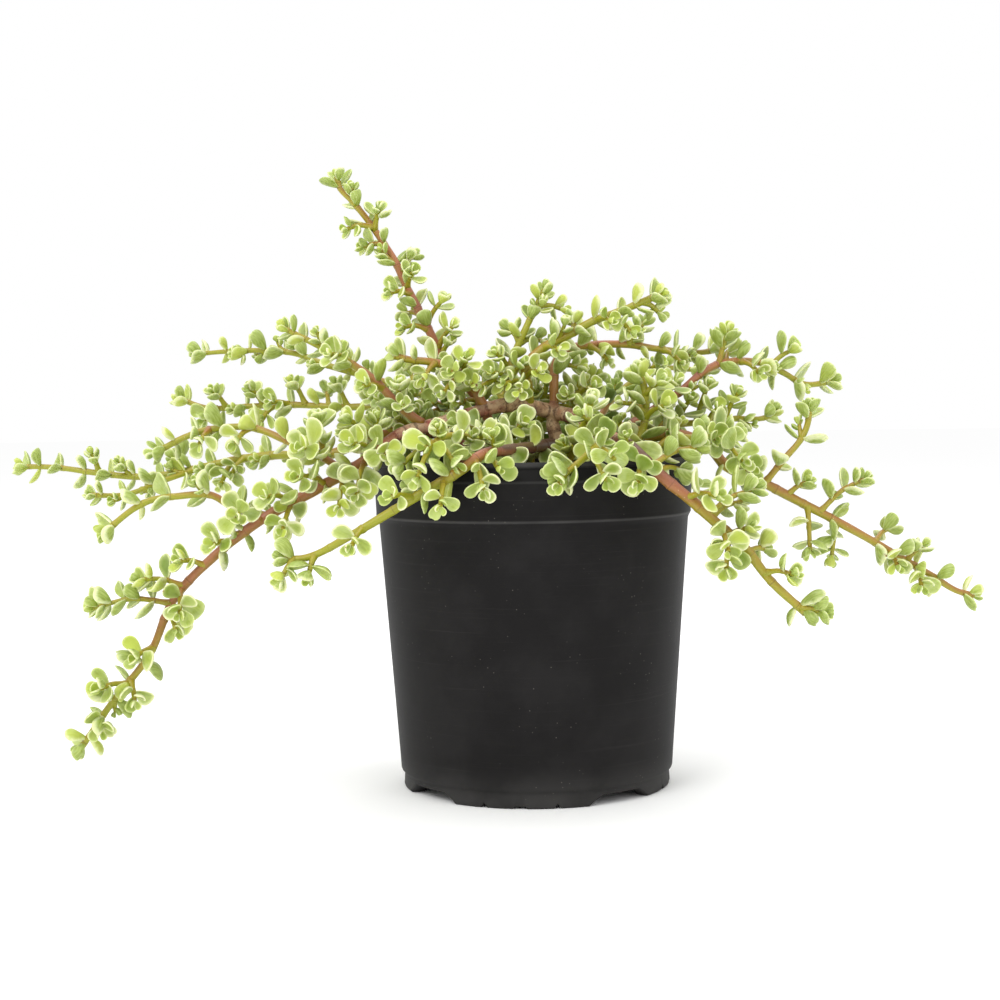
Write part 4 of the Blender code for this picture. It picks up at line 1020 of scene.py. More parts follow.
def leaf_material():
    """Succulent leaf: green middle, pale margin of uneven width, duller underside, a few brown marks."""
    shade = Shade("variegated_leaf", Specular_IOR_Level=0.45, Subsurface_Weight=0.25,
                  Subsurface_Radius=(0.8, 1.0, 0.3), Subsurface_Scale=0.0015)
    ring, under, along = shade.parts(shade.attribute("leaf_form"))
    tone, youth, cream = shade.parts(shade.attribute("leaf_kind"))
    place = shade.attribute("leaf_place")
    wobble = shade.math("SUBTRACT", shade.noise(place, 0.42, 3.0), 0.5)
    streak = shade.noise(shade.stretched(place, 0.22, 1.5, 1.0), 1.0, 3.0)
    cloud = shade.noise(place, 0.2, 2.0)

    middle = shade.mix(shade.span(streak, 0.34, 0.68), (146, 165, 62), (170, 186, 92))
    middle = shade.mix(shade.span(cloud, 0.35, 0.7, 0.0, 0.6), middle, (192, 206, 144))
    middle = shade.mix(shade.span(tone, 0.45, 0.0, 0.0, 0.8), middle, (112, 140, 28))
    base = shade.span(along, 0.42, 0.02, 0.0, 0.55)
    middle = shade.mix(base, middle, (106, 134, 16))
    yellow = shade.span(tone, 0.66, 1.0, 0.0, 0.8)
    middle = shade.mix(yellow, middle, (200, 212, 84))
    middle = shade.mix(shade.times(youth, 0.4), middle, (196, 212, 96))

    drift = shade.math("ADD", shade.math("MULTIPLY_ADD", wobble, 0.34, ring), cream)
    edge = shade.span(drift, 0.78, 1.12, 0.0, 0.94)
    halo = shade.span(drift, 0.42, 1.0, 0.0, 0.55)
    pale = shade.mix(cloud, (222, 227, 158), (243, 245, 214))
    upper = shade.mix(halo, middle, (204, 214, 136))
    upper = shade.mix(edge, upper, pale)

    below = shade.mix(shade.span(streak, 0.3, 0.7), (138, 156, 62), (172, 188, 104))
    below = shade.mix(yellow, below, (192, 202, 90))
    below = shade.mix(shade.times(edge, 0.85), below, pale)
    skin = shade.mix(under, upper, below)

    marks = shade.times(shade.span(shade.noise(place, 0.33, 4.0), 0.66, 0.72), shade.span(ring, 0.78, 0.97))
    marks = shade.times(marks, shade.span(tone, 0.3, 0.1))
    skin = shade.mix(marks, skin, (140, 104, 52))
    # Leaves of the lowest tone, most of them deep in the plant, turn dark green: painted shade.
    skin = shade.mix(shade.span(tone, 0.05, -0.6, 0.0, 0.8), skin, (70, 100, 28))
    shade.colour(skin)
    shade.rough(shade.span(streak, 0.2, 0.8, 0.36, 0.52))
    shade.bump(shade.noise(place, 1.6, 3.0), 0.12, 0.0004)
    return shade.material


def stalk_material():
    """Smooth stalk: redder on the side that meets the light, olive below, a fine line at each node."""
    shade = Shade("green_stalk", Specular_IOR_Level=0.5, Subsurface_Weight=0.08,
                  Subsurface_Radius=(1.0, 0.7, 0.3), Subsurface_Scale=0.001)
    age, line = shade.parts(shade.attribute("stalk_form"))[:2]
    sun = shade.parts(shade.normal())[2]
    place = shade.place()
    patch = shade.noise(place, 90.0, 3.0)
    fine = shade.noise(place, 900.0, 4.0, 0.6)
    lit = shade.math("MULTIPLY_ADD", sun, 0.24, age)
    lit = shade.math("MULTIPLY_ADD", shade.math("SUBTRACT", patch, 0.5), 0.35, lit)
    skin = shade.ramp(lit, STALK_COLOURS)
    skin = shade.mix(shade.span(fine, 0.5, 0.75, 0.0, 0.16), skin, (196, 168, 128))
    pores = shade.node("TexVoronoi", {"Vector": place, "Scale": 420.0}, feature="F1")
    pores = shade.times(shade.span(pores, 0.15, 0.07), shade.span(patch, 0.42, 0.58, 0.0, 0.55))
    skin = shade.mix(pores, skin, (214, 196, 150))
    groove = shade.times(shade.span(line, 0.13, 0.02, 0.0, 0.5), shade.span(patch, 0.35, 0.6, 0.35, 1.0))
    skin = shade.mix(groove, skin, (92, 62, 36))
    shade.colour(skin)
    shade.rough(shade.span(fine, 0.3, 0.7, 0.32, 0.50))
    shade.bump(shade.math("ADD", fine, pores), 0.25, 0.0003)
    return shade.material


def bark_material():
    """Brown bark with darker rings at its nodes, fine cracks and grey lichen-like flecks."""
    shade = Shade("bark", Specular_IOR_Level=0.3)
    age, line = shade.parts(shade.attribute("stalk_form"))[:2]
    sun = shade.parts(shade.normal())[2]
    place = shade.place()
    patch = shade.noise(place, 120.0, 4.0, 0.6)
    fine = shade.noise(place, 1500.0, 5.0, 0.7)
    crack = shade.noise(place, 520.0, 4.0, 0.6)
    drift = shade.math("MULTIPLY_ADD", shade.math("SUBTRACT", patch, 0.5), 0.3, age)
    skin = shade.ramp(drift, BARK_COLOURS)
    # Pale grey patches of the bark, brighter on faces that look up: real patches with a painted highlight.
    pale = shade.times(shade.span(patch, 0.40, 0.62), shade.span(sun, -0.6, 0.6, 0.25, 0.8))
    skin = shade.mix(pale, skin, (214, 190, 156))
    skin = shade.mix(shade.span(shade.noise(place, 150.0, 3.0), 0.50, 0.38, 0.0, 0.5), skin, (104, 56, 46))
    skin = shade.mix(shade.span(fine, 0.56, 0.78, 0.0, 0.5), skin, (230, 210, 176))
    skin = shade.mix(shade.span(crack, 0.47, 0.33, 0.0, 0.6), skin, (78, 46, 34))
    seam = shade.times(shade.span(line, 0.40, 0.04, 0.0, 0.7), shade.span(patch, 0.3, 0.6, 0.4, 1.0))
    skin = shade.mix(seam, skin, (66, 38, 28))
    # The trunk's foot darkens towards the soil: painted shade.
    foot = shade.span(shade.parts(place)[2], *FOOT_SHADE_HEIGHTS, 0.0, 0.85)
    skin = shade.mix(foot, skin, (34, 22, 14))
    shade.colour(skin)
    shade.rough(shade.span(fine, 0.3, 0.7, 0.6, 0.85))
    shade.bump(shade.math("ADD", fine, shade.times(crack, 1.5)), 0.6, 0.0004)
    return shade.material


def plastic_material():
    """Black moulded plastic, dusty low down, with fine level scuffs and pale specks."""
    shade = Shade("black_plastic", Specular_IOR_Level=0.08)
    place = shade.place()
    height = shade.parts(place)[2]
    cloud = shade.noise(place, 26.0, 4.0, 0.6)
    scuff = shade.noise(shade.stretched(place, 14.0, 14.0, 900.0), 1.0, 4.0, 0.65)
    grain = shade.noise(place, 2600.0, 2.0)
    speck = shade.node("TexVoronoi", {"Vector": place, "Scale": 330.0}, feature="F1")
    sparse = shade.noise(place, 45.0, 3.0)
    skin = shade.mix(shade.span(cloud, 0.35, 0.7), (25, 24, 24), (33, 32, 32))
    skin = shade.mix(shade.span(scuff, 0.56, 0.8, 0.0, 0.30), skin, (56, 54, 53))
    # Pale lines along the ridge, the band's moulding line and the lip: painted highlights where these edges
    # catch the light.
    for level, reach, share in ((RIDGE_HEIGHT, 1.0, 0.75), (RIM_HEIGHT - MOULD_LINE, 1.0, 0.4),
                                (RIM_HEIGHT - 1.0 * MM, 2.0, 0.7)):
        away = shade.math("ABSOLUTE", shade.math("SUBTRACT", height, level))
        painted_edge_highlight = shade.times(shade.span(away, reach * MM, 0.2 * MM), shade.span(cloud, 0.2, 0.7, 0.4, 1.0))
        skin = shade.mix(shade.times(painted_edge_highlight, share), skin, (74, 73, 72))
    # A thin dark line just under the step above the feet: painted shadow under the step's edge.
    step = shade.math("ABSOLUTE", shade.math("SUBTRACT", height, BODY_FOOT[1] - STEP_DROP - 1.0 * MM))
    skin = shade.mix(shade.span(step, 0.9 * MM, 0.2 * MM, 0.0, 0.7), skin, (12, 12, 12))
    dust = shade.times(shade.span(height, 22 * MM, 2 * MM), shade.span(cloud, 0.2, 0.6, 0.3, 1.0))
    skin = shade.mix(shade.times(dust, 0.8), skin, (60, 59, 58))
    dots = shade.times(shade.span(speck, 0.12, 0.05), shade.span(sparse, 0.50, 0.62))
    skin = shade.mix(shade.times(dots, 0.45), skin, (116, 112, 104))
    shade.colour(skin)
    shade.rough(shade.math("MULTIPLY_ADD", cloud, 0.22, 0.42))
    shade.bump(shade.math("MULTIPLY_ADD", scuff, 1.2, grain), 0.16, 0.0002)
    return shade.material


def soil_material():
    """Dark damp potting mix."""
    shade = Shade("potting_soil", Specular_IOR_Level=0.25)
    place = shade.place()
    clump = shade.noise(place, 260.0, 6.0, 0.7)
    fleck = shade.noise(place, 900.0, 3.0, 0.6)
    skin = shade.mix(shade.span(clump, 0.3, 0.7), (34, 28, 24), (76, 60, 46))
    skin = shade.mix(shade.span(fleck, 0.66, 0.74, 0.0, 0.7), skin, (128, 100, 70))
    shade.colour(skin)
    shade.rough(shade.span(clump, 0.3, 0.7, 0.85, 0.97))
    shade.bump(shade.math("ADD", clump, fleck), 0.9, 0.0012)
    return shade.material


def chip_material():
    """Bits of bark and pale grains in the mix; each has its own tone."""
    shade = Shade("soil_bits", Specular_IOR_Level=0.25)
    tone = shade.parts(shade.attribute("bit_tone"))[0]
    place = shade.place()
    grain = shade.noise(shade.stretched(place, 1.0, 1.0, 2.5), 900.0, 4.0, 0.65)
    skin = shade.ramp(tone, BIT_COLOURS)
    skin = shade.mix(shade.span(grain, 0.5, 0.3, 0.0, 0.6), skin, (34, 26, 22))
    shade.colour(skin)
    shade.rough(shade.span(grain, 0.3, 0.7, 0.75, 0.95))
    shade.bump(grain, 0.6, 0.0004)
    return shade.material


def add_layer(mesh, name, vectors):
    """A vector for each point of a mesh, for its material to read."""
    layer = mesh.attributes.new(name, "FLOAT_VECTOR", "POINT")
    layer.data.foreach_set("vector", np.asarray(vectors, dtype=np.float32).ravel())


def make_mesh(name, points, faces, **values):
    """A smooth mesh, with a vector for each point under each name given."""
    mesh = bpy.data.meshes.new(name)
    mesh.from_pydata(np.asarray(points, dtype=float).tolist(), [], faces)
    for key, vectors in values.items():
        add_layer(mesh, key, vectors)
    mesh.shade_smooth()
    return mesh


def joined(pieces):
    """The points of several pieces, and their faces with the points' new numbers."""
    all_faces = []
    count = 0
    for points, faces in pieces:
        all_faces.extend(tuple(index + count for index in face) for face in faces)
        count += len(points)
    return np.concatenate([points for points, faces in pieces]), all_faces


def tube_faces(rows, columns):
    """The faces of a tube of rings, closed at its far end and at its near end."""
    last = (rows - 1) * columns
    far = tuple(last + column for column in reversed(range(columns)))
    return grid_faces(rows, columns) + [far, tuple(range(columns))]


def turned_faces(rows, columns):
    """The faces of turned rings, closed at both ends round the two points that follow the rings."""
    faces = grid_faces(rows, columns)
    last = (rows - 1) * columns
    middle = rows * columns
    for column in range(columns):
        other = (column + 1) % columns
        faces.append((column, other, middle))
        faces.append((last + other, last + column, middle + 1))
    return faces


def bell(away, height, reach):
    """A smooth rise of a given height that fades with the distance from its middle."""
    return height * math.exp(-(away / reach) ** 2)


def spokes(turns, heading):
    """The directions at several turns round a heading, one to a row."""
    level, upright = cross_axes(heading)
    return np.outer(np.cos(turns), level) + np.outer(np.sin(turns), upright)


def add_object(name, data):
    """An object in the scene for the data given."""
    thing = bpy.data.objects.new(name, data)
    bpy.context.scene.collection.objects.link(thing)
    return thing


def put_piece(name, mesh, material, slot, *nodes):
    """A piece of the object: it rides on the one body and stands for the nodes named."""
    thing = add_object(name, mesh)
    mesh.materials.clear()
    mesh.materials.append(material)
    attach(thing, "root")
    if nodes:
        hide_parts(*nodes)
    return thing


def leaf_template(columns, upper, lower):
    """The ring, turn and side of each point of a leaf, and its faces."""
    rings = [(ring, 1.0) for ring in upper] + [(1.0, 0.0)] + [(ring, -1.0) for ring in lower]
    turns = np.arange(columns) * math.tau / columns
    ring = np.concatenate([[0.0]] + [np.full(columns, r) for r, side in rings] + [[0.0]])
    side = np.concatenate([[1.0]] + [np.full(columns, s) for r, s in rings] + [[-1.0]])
    turn = np.concatenate([[0.0]] + [turns] * len(rings) + [[0.0]])
    faces = grid_faces(len(rings), columns, 1)
    end = len(ring) - 1
    for column in range(columns):
        other = (column + 1) % columns
        faces.append((0, 1 + column, 1 + other))
        faces.append((end, end - columns + other, end - columns + column))
    return ring, turn, side, faces


def leaf_surface(template, leaf, draw):
    """The points of one leaf in its own frame, in metres, and what the material reads at each."""
    ring, turn, side, faces = template
    size = draw.uniform(*LEAF_SIZES)
    length = leaf.matrix.to_scale().x * size
    width = leaf.matrix.to_scale().y * size * draw.uniform(*LEAF_WIDTHS)
    thick = LEAF_THICKNESS * (THICKNESS_SHARES[0] + THICKNESS_SHARES[1] * length / USUAL_LENGTH)
    thick = thick * draw.uniform(*LEAF_THICKNESSES)
    cup = draw.uniform(*LEAF_CUPS)
    curl = draw.uniform(*LEAF_CURLS)
    fold = draw.uniform(*(LEAF_FOLDS if draw.random() < PLAIN_FOLD_SHARE else DEEP_FOLDS))
    twist = draw.uniform(*LEAF_TWISTS)
    notch = draw.choice(LEAF_NOTCHES)
    wave = draw.uniform(*LEAF_WAVES)
    phase = draw.uniform(0, math.tau)

    share = (0.5 + 0.5 * np.cos(turn)) ** LEAF_OUTLINE[2]
    tip = np.exp((np.cos(turn) - 1.0) / TIP_REACH)
    edge_x = share - notch * tip
    edge_y = 0.5 * np.sin(turn) * (LEAF_OUTLINE[0] + LEAF_OUTLINE[1] * share)
    ripple = 1.0 + wave * np.sin(3 * turn + phase)
    x = (LEAF_MIDDLE + ring * ripple ** (ring > 0.5) * (edge_x - LEAF_MIDDLE)) * length
    y = ring * ripple * edge_y * width
    half = 0.5 * width
    crown = cup * half * ring ** CUP_POWER
    edge = EDGE_ROUND[0] * thick * ring ** EDGE_ROUND[1]
    lip = LIP[0] * thick * np.exp(-((ring - LIP[1]) / LIP[2]) ** 2) - edge
    belly = thick * np.maximum(0.0, 1.0 - ring ** BELLY_POWERS[0]) ** BELLY_POWERS[1] + edge
    z = crown + np.where(side > 0, lip, -belly)
    reach = np.maximum(x / length - CURL_START, 0.0)
    z = z + curl * length * reach ** 2
    crease = FOLD_WIDTH * half
    z = z + fold * (np.sqrt(y ** 2 + crease ** 2) - crease) * np.clip(x / length * FOLD_EASE, 0, 1)
    z = z + twist * y * reach
    points = np.stack([x, y, z], axis=1)

    along = x / length
    under = np.where(side < 0, 1.0, np.where(side == 0, 0.5, 0.0))
    form = np.stack([ring, under, along], axis=1)
    place = np.stack([x / MM, y / MM, np.full(len(x), draw.uniform(0, PATTERN_SHIFT))], axis=1)
    return points, form, place


def leaf_kind(leaf, draw):
    """What a leaf's colour depends on: its tone, how young it is, and how wide its pale margin is."""
    axis = leaf.site.axis
    near_tip = max(0.0, 1.0 - (axis.route.length - leaf.site.place) / YOUNG_REACH)
    tone = draw.random()
    cream = draw.uniform(*MARGIN_DRIFT)
    if draw.random() < WIDE_MARGIN_SHARE:
        cream += draw.uniform(*WIDE_MARGIN)
    for place, reach, change in TONE_DRIFTS:
        away = (leaf.matrix.translation - metres(place)).length
        tone += bell(away, change, reach * MM)
        cream += bell(away, MARGIN_SHARE * change, reach * MM)
    return tone, near_tip, cream


def leaves_mesh(name, leaves, large, small):
    """All the leaves of one stem in one mesh."""
    draw = random.Random(f"{name} leaves")
    pieces, forms, places, kinds = [], [], [], []
    for leaf in leaves:
        template = small if leaf.matrix.to_scale().x < SMALL_LENGTH else large
        own, form, place = leaf_surface(template, leaf, draw)
        pieces.append((place_leaf(own, leaf), template[3]))
        forms.append(form)
        places.append(place)
        kinds.append(np.tile(leaf_kind(leaf, draw), (len(own), 1)))
    return make_mesh(name, *joined(pieces), leaf_form=np.concatenate(forms),
                     leaf_place=np.concatenate(places), leaf_kind=np.concatenate(kinds))


def place_leaf(points, leaf):
    """A leaf's points where it grows, drawn back to its root until they are inside the CAD model's box."""
    turn = np.array(leaf.matrix.to_3x3().normalized())
    root = np.array(leaf.matrix.translation)
    low, high = np.array(CAD_BOX[0]), np.array(CAD_BOX[1])
    for size in LEAF_SHRINKS:
        placed = points @ turn.T * size + root
        if (placed.min(axis=0) > low).all() and (placed.max(axis=0) < high).all():
            return placed
    return placed


def node_places(axis, number):
    """Where an axis has its nodes: at each pair of leaves, and evenly where it has lost them."""
    places = sorted({site.place for site in leaf_sites(axis, number)})
    step = axis.pitch[0]
    marks = list(np.arange(places[0] - step, axis.start, -step))
    for low, high in zip(places, places[1:]):
        count = round((high - low) / step)
        marks.extend(low + (high - low) * part / count for part in range(1, count))
    return sorted(places + marks)


def stalk_rows(axis, start, marks):
    """Distances for a stalk's rings of points: evenly along it, and close together at its nodes."""
    length = axis.route.length - start
    rows = list(start + np.linspace(0.0, length, max(3, math.ceil(length / ROW_STEP))))
    for mark in marks:
        rows.extend(mark + step * MM for step in NODE_ROWS_MM)
    rows = sorted(row for row in rows if start <= row <= axis.route.length)
    kept = [rows[0]]
    for row in rows[1:]:
        if row - kept[-1] > LEAST_ROW:
            kept.append(row)
    return kept


def age_at(ages, share):
    """How old the bark looks at a share of the way along: the foot's age gives way to the tip's."""
    change = min(max((share - ages[2]) / (2 * AGE_SPAN) + 0.5, 0.0), 1.0)
    return ages[0] + (ages[1] - ages[0]) * change * change * (3 - 2 * change)


def stalk_tube(axis, start, marks, sides, ages, draw):
    """Points, faces and looks of one stalk: a smooth tube that swells a little at its nodes."""
    rows = stalk_rows(axis, start, marks)
    turns = np.arange(sides) * math.tau / sides
    points, forms = [], []
    phase = draw.uniform(0, math.tau)
    for row in rows:
        centre, heading = axis.route.at(row)
        radius = axis_radius(axis, row)
        away = min((abs(row - mark) for mark in marks), default=NODE_FAR) / MM
        radius *= 1.0 + bell(away, *NODE_SWELL) - bell(away, *NODE_DIP)
        radius *= 1.0 + STALK_WAVE[0] * math.sin(row / STALK_WAVE[1] + phase)
        if axis.kind != "stalk":
            radius *= 1.0 + bell(row, *FOOT_SWELL)
        points.append(np.array(centre) + spokes(turns, heading) * radius)
        age = age_at(ages, (row - axis.start) / (axis.route.length - axis.start))
        forms.append(np.tile((age, min(away, NODE_REACH) / NODE_REACH, 0.0), (sides, 1)))
    return np.concatenate(points), tube_faces(len(rows), sides), np.concatenate(forms)


def stalk_mesh(name, group, places):
    """A stem's stalk, branches and side shoots in one mesh."""
    ages = STALK_AGES.get(group[0].stem, USUAL_AGES)
    pieces, all_forms = [], []
    for number, axis in enumerate(group):
        draw = random.Random(f"{name} stalk {number}")
        sides = SHOOT_SIDES if axis.kind == "shoot" else STALK_SIDES
        own = ages
        if axis.kind != "stalk":
            there = age_at(ages, group[0].route.nearest(axis.route.points[0]) / group[0].route.length)
            own = (there * YOUNGER[axis.kind], ages[1] * YOUNGER["tip"], YOUNGER["change"])
        points, faces, forms = stalk_tube(axis, stalk_start(axis), places[number], sides, own, draw)
        pieces.append((points, faces))
        all_forms.append(forms)
    return make_mesh(name, *joined(pieces), stalk_form=np.concatenate(all_forms))


def stalk_start(axis):
    """Where a fine stalk starts: a little way inside what it grows from."""
    if axis.kind != "stalk":
        return 0.0
    if axis.start == 0.0:
        return STALK_FOOT
    return max(0.0, axis.start - STALK_SUNK)


def wood_mesh(wood):
    """The trunk and its limbs: knotty tubes joined by one fine skin."""
    pieces = []
    beads = []
    for number, axis in enumerate(wood):
        draw = random.Random(f"wood {number}")
        stalk = STEMS[WOOD_STEMS[number]].girth[0] * MM
        length = axis.route.length
        marks = []
        mark = draw.uniform(*FIRST_NODE_MM) * MM
        while mark < length:
            marks.append(mark)
            mark += WOOD_NODE * draw.uniform(*WOOD_SPACES)
        rows = max(3, math.ceil(length / WOOD_ROW))
        turns = np.arange(WOOD_SIDES) * math.tau / WOOD_SIDES
        points = []
        for step in range(rows + 1):
            row = length * step / rows
            centre, heading = axis.route.at(row)
            away = min(abs(row - mark) for mark in marks) / MM
            radius = axis_radius(axis, row) * (WOOD_PLAIN + bell(away, *WOOD_SWELL))
            radius *= 1.0 - bell(away, *WOOD_DIP)
            ease = max(0.0, 1.0 - (length - row) / WOOD_EASE)
            radius += (WOOD_END * stalk - radius) * ease * ease * (3 - 2 * ease)
            ways = spokes(turns, heading)
            skin = (Vector(centre) + Vector(way) * radius for way in ways)
            bumps = np.array([noise.noise(point * BARK_ROUGH[1]) for point in skin])
            points.append(np.array(centre) + ways * (radius * (1.0 + BARK_ROUGH[0] * bumps))[:, None])
            beads.append((*centre, away, age_at(WOOD_AGES[number], row / length)))
        pieces.append((np.concatenate(points), tube_faces(rows + 1, WOOD_SIDES)))
    return skin_over(pieces, np.array(beads))


def shaped(thing):
    """The mesh that an object's modifiers make of it; the object itself goes."""
    graph = bpy.context.evaluated_depsgraph_get()
    mesh = bpy.data.meshes.new_from_object(thing.evaluated_get(graph))
    bpy.data.objects.remove(thing, do_unlink=True)
    return mesh


def skin_over(pieces, beads):
    """One closed skin over several closed tubes, smoothed, with the nearest ring read at each point."""
    thing = add_object("skin", make_mesh("skin", *joined(pieces)))
    remesh = thing.modifiers.new("skin", "REMESH")
    remesh.mode = "VOXEL"
    remesh.voxel_size = BARK_VOXEL
    remesh.use_smooth_shade = True
    smooth = thing.modifiers.new("ease", "SMOOTH")
    smooth.factor, smooth.iterations = BARK_SMOOTH
    mesh = shaped(thing)
    points = np.empty(len(mesh.vertices) * 3)
    mesh.vertices.foreach_get("co", points)
    points = points.reshape(-1, 3)
    nearest = np.array([np.argmin(((beads[:, :3] - point) ** 2).sum(axis=1)) for point in points])
    found = beads[nearest]
    lines = np.minimum(found[:, 3], NODE_REACH) / NODE_REACH
    forms = np.stack([found[:, 4], lines, np.zeros(len(points))], axis=1)
    add_layer(mesh, "stalk_form", forms)
    mesh.shade_smooth()
    return mesh


def arc(centre, radius, start, end, steps):
    """Points of a round edge, as radius and height, from one angle to another in degrees."""
    angles = (math.radians(start + (end - start) * step / steps) for step in range(steps + 1))
    return [(centre[0] + radius * math.cos(angle), centre[1] + radius * math.sin(angle)) for angle in angles]


def beside(radius, height, *offsets):
    """Points of the pot's outline: offsets outward and upward, in millimetres, from a radius and height."""
    return [(radius + out * MM, height + up * MM) for out, up in offsets]


def fine_pot_profile():
    """The pot's outline with its edges rounded: lip, moulding line on the band, ridge and foot step."""
    inside = [(HUB_RADIUS, FLOOR_TOP), (DRAIN_PLACE, FLOOR_TOP)] + inner_wall()[:-1]
    top = arc((BAND_RADIUS - WALL + LIP_ROUND, RIM_HEIGHT - LIP_ROUND), LIP_ROUND, 180, 90, 4)
    top += arc((RIM_RADIUS - LIP_ROUND, RIM_HEIGHT - LIP_ROUND), LIP_ROUND, 90, 0, 4)
    top += beside(RIM_RADIUS, RIM_HEIGHT, (0, -2.3), (-0.15, -2.8))
    top += beside(BAND_RADIUS, RIM_HEIGHT, (-0.1, -3.1), (-0.1, -3.6))
    slope = (BAND_RADIUS - RIDGE_RADIUS) / (RIM_HEIGHT - RIDGE_HEIGHT)
    line = RIM_HEIGHT - MOULD_LINE
    wall = BAND_RADIUS - slope * (RIM_HEIGHT - line)
    band = beside(wall, line, (0, 0.8), (0.22, 0.3), (0.22, -0.3), (0, -0.8))
    ridge = beside(RIDGE_RADIUS, RIDGE_HEIGHT, (0, 1.2), (0.12, 0.5), (0, 0), (-0.5, -0.9))
    ridge += beside(*BODY_TOP, (0.25, 0.5), (0, -0.6))
    body = [(wall_radius(height * MM), height * MM) for height in BODY_ROWS_MM]
    foot = BODY_FOOT[1] - STEP_DROP
    step = beside(BODY_FOOT[0], foot, (-0.05, 0.6), (-0.35, -0.3))
    step += beside(FOOT_RADIUS, foot, (-0.1, -1.6), (-0.3, -2.6))
    return inside + top + band + ridge + body + step


def foot_lift(angle):
    """How far the foot ring's lower edge is above the ground at an angle round the pot."""
    quarter = math.tau / FEET
    turn = (angle - FOOT_TURN + quarter / 2) % quarter - quarter / 2
    away = abs(turn)
    gap = quarter / 2 - away
    wide, narrow = CHANNEL_ANGLES[0] / 2, CHANNEL_ANGLES[1] / 2
    lift = 0.0
    if gap < wide + FOOT_EASE:
        share = min(max((wide + FOOT_EASE - gap) / (wide - narrow + FOOT_EASE), 0.0), 1.0)
        lift = (FOOT_DEPTH - 0.1 * MM) * share ** 0.8
    reach = abs(away - NOTCH_TURN) * FOOT_RADIUS
    lift = max(lift, NOTCH_SIZE[1] * (1.0 - reach / (NOTCH_EASE * NOTCH_SIZE[0])))
    flat = (0.5 * FLAT_NOTCH[0] + 0.3 * MM - away * FOOT_RADIUS) / FLAT_EASE
    return max(lift, FLAT_NOTCH[1] * min(1.0, max(0.0, flat)))


def pot_angles():
    """Angles for the pot's columns: even all round, with more at the feet's ends and notches."""
    angles = set(np.round(np.arange(POT_COLUMNS) * math.tau / POT_COLUMNS, 5))
    quarter = math.tau / FEET
    spots = []
    for foot in range(FEET):
        middle = FOOT_TURN + foot * quarter
        for side in (-1, 1):
            spots.append((middle + side * NOTCH_TURN, *NOTCH_COLUMNS))
            spots.append((middle + side * 0.5 * FLAT_NOTCH[0] / FOOT_RADIUS, *FLAT_COLUMNS))
            edge = quarter / 2 - 0.25 * (CHANNEL_ANGLES[0] + CHANNEL_ANGLES[1])
            spots.append((middle + side * edge, *END_COLUMNS))
    for spot, reach, count in spots:
        angles |= {round((spot + reach * share) % math.tau, 5) for share in np.linspace(-1, 1, count)}
    ordered = sorted(angles)
    return [angle for angle, after in zip(ordered, ordered[1:] + [math.tau + ordered[0]])
            if after - angle > LEAST_TURN]


def drilled(mesh):
    """The pot's mesh with a drain hole through the floor at each channel."""
    shape = bmesh.new()
    for foot in range(FEET):
        turn = Matrix.Rotation(FOOT_TURN + (foot + 0.5) * math.tau / FEET, 4, "Z")
        bmesh.ops.create_cone(shape, cap_ends=True, segments=DRAIN_COLUMNS, radius1=DRAIN_RADIUS,
                              radius2=DRAIN_RADIUS, depth=4 * FOOT_DEPTH,
                              matrix=turn @ Matrix.Translation((DRAIN_PLACE, 0, FLOOR_TOP)))
    pins = bpy.data.meshes.new("drain_pins")
    shape.to_mesh(pins)
    shape.free()
    pot, drill = (add_object(item.name, item) for item in (mesh, pins))
    cut = pot.modifiers.new("drains", "BOOLEAN")
    cut.object = drill
    cut.solver = "EXACT"
    mesh = shaped(pot)
    bpy.data.objects.remove(drill, do_unlink=True)
    return mesh


def pot_mesh():
    """The pot turned from its outline, with the feet shaped by raising the foot ring's lower edge."""
    angles = np.array(pot_angles())
    lift = np.array([foot_lift(angle) for angle in angles])
    level = np.zeros(len(angles))
    top = BODY_FOOT[1] - STEP_DROP - STEP_ROOM
    ring = FOOT_RADIUS - FOOT_RING
    edge = beside(FOOT_RADIUS, 0.0, (-0.1, 2.6), (0, 1.3), (-0.25, 0.45), (-1.0, 0))
    edge += beside(ring, 0.0, (0.8, 0), (0, 0.6))
    under = beside(ring, FOOT_DEPTH, (0, 0.6)) + beside(HUB_RADIUS, FOOT_DEPTH, (0.8, 0.6), (0, 0))
    under += beside(HUB_RADIUS, 0.0, (0, 0.6), (-0.6, 0))
    rows = [(r, z + level) for r, z in fine_pot_profile()]
    rows += [(r, np.minimum(z + lift, top)) for r, z in edge]
    rows += [(r, z + level) for r, z in under]
    rings = [np.stack([r * np.cos(angles), r * np.sin(angles), heights], axis=1) for r, heights in rows]
    points = np.concatenate(rings + [[(0.0, 0.0, FLOOR_TOP)], [(0.0, 0.0, 0.0)]])
    mesh = drilled(make_mesh("pot_shell", points, turned_faces(len(rings), len(angles))))
    mesh.set_sharp_from_angle(angle=POT_SHARP)
    return mesh


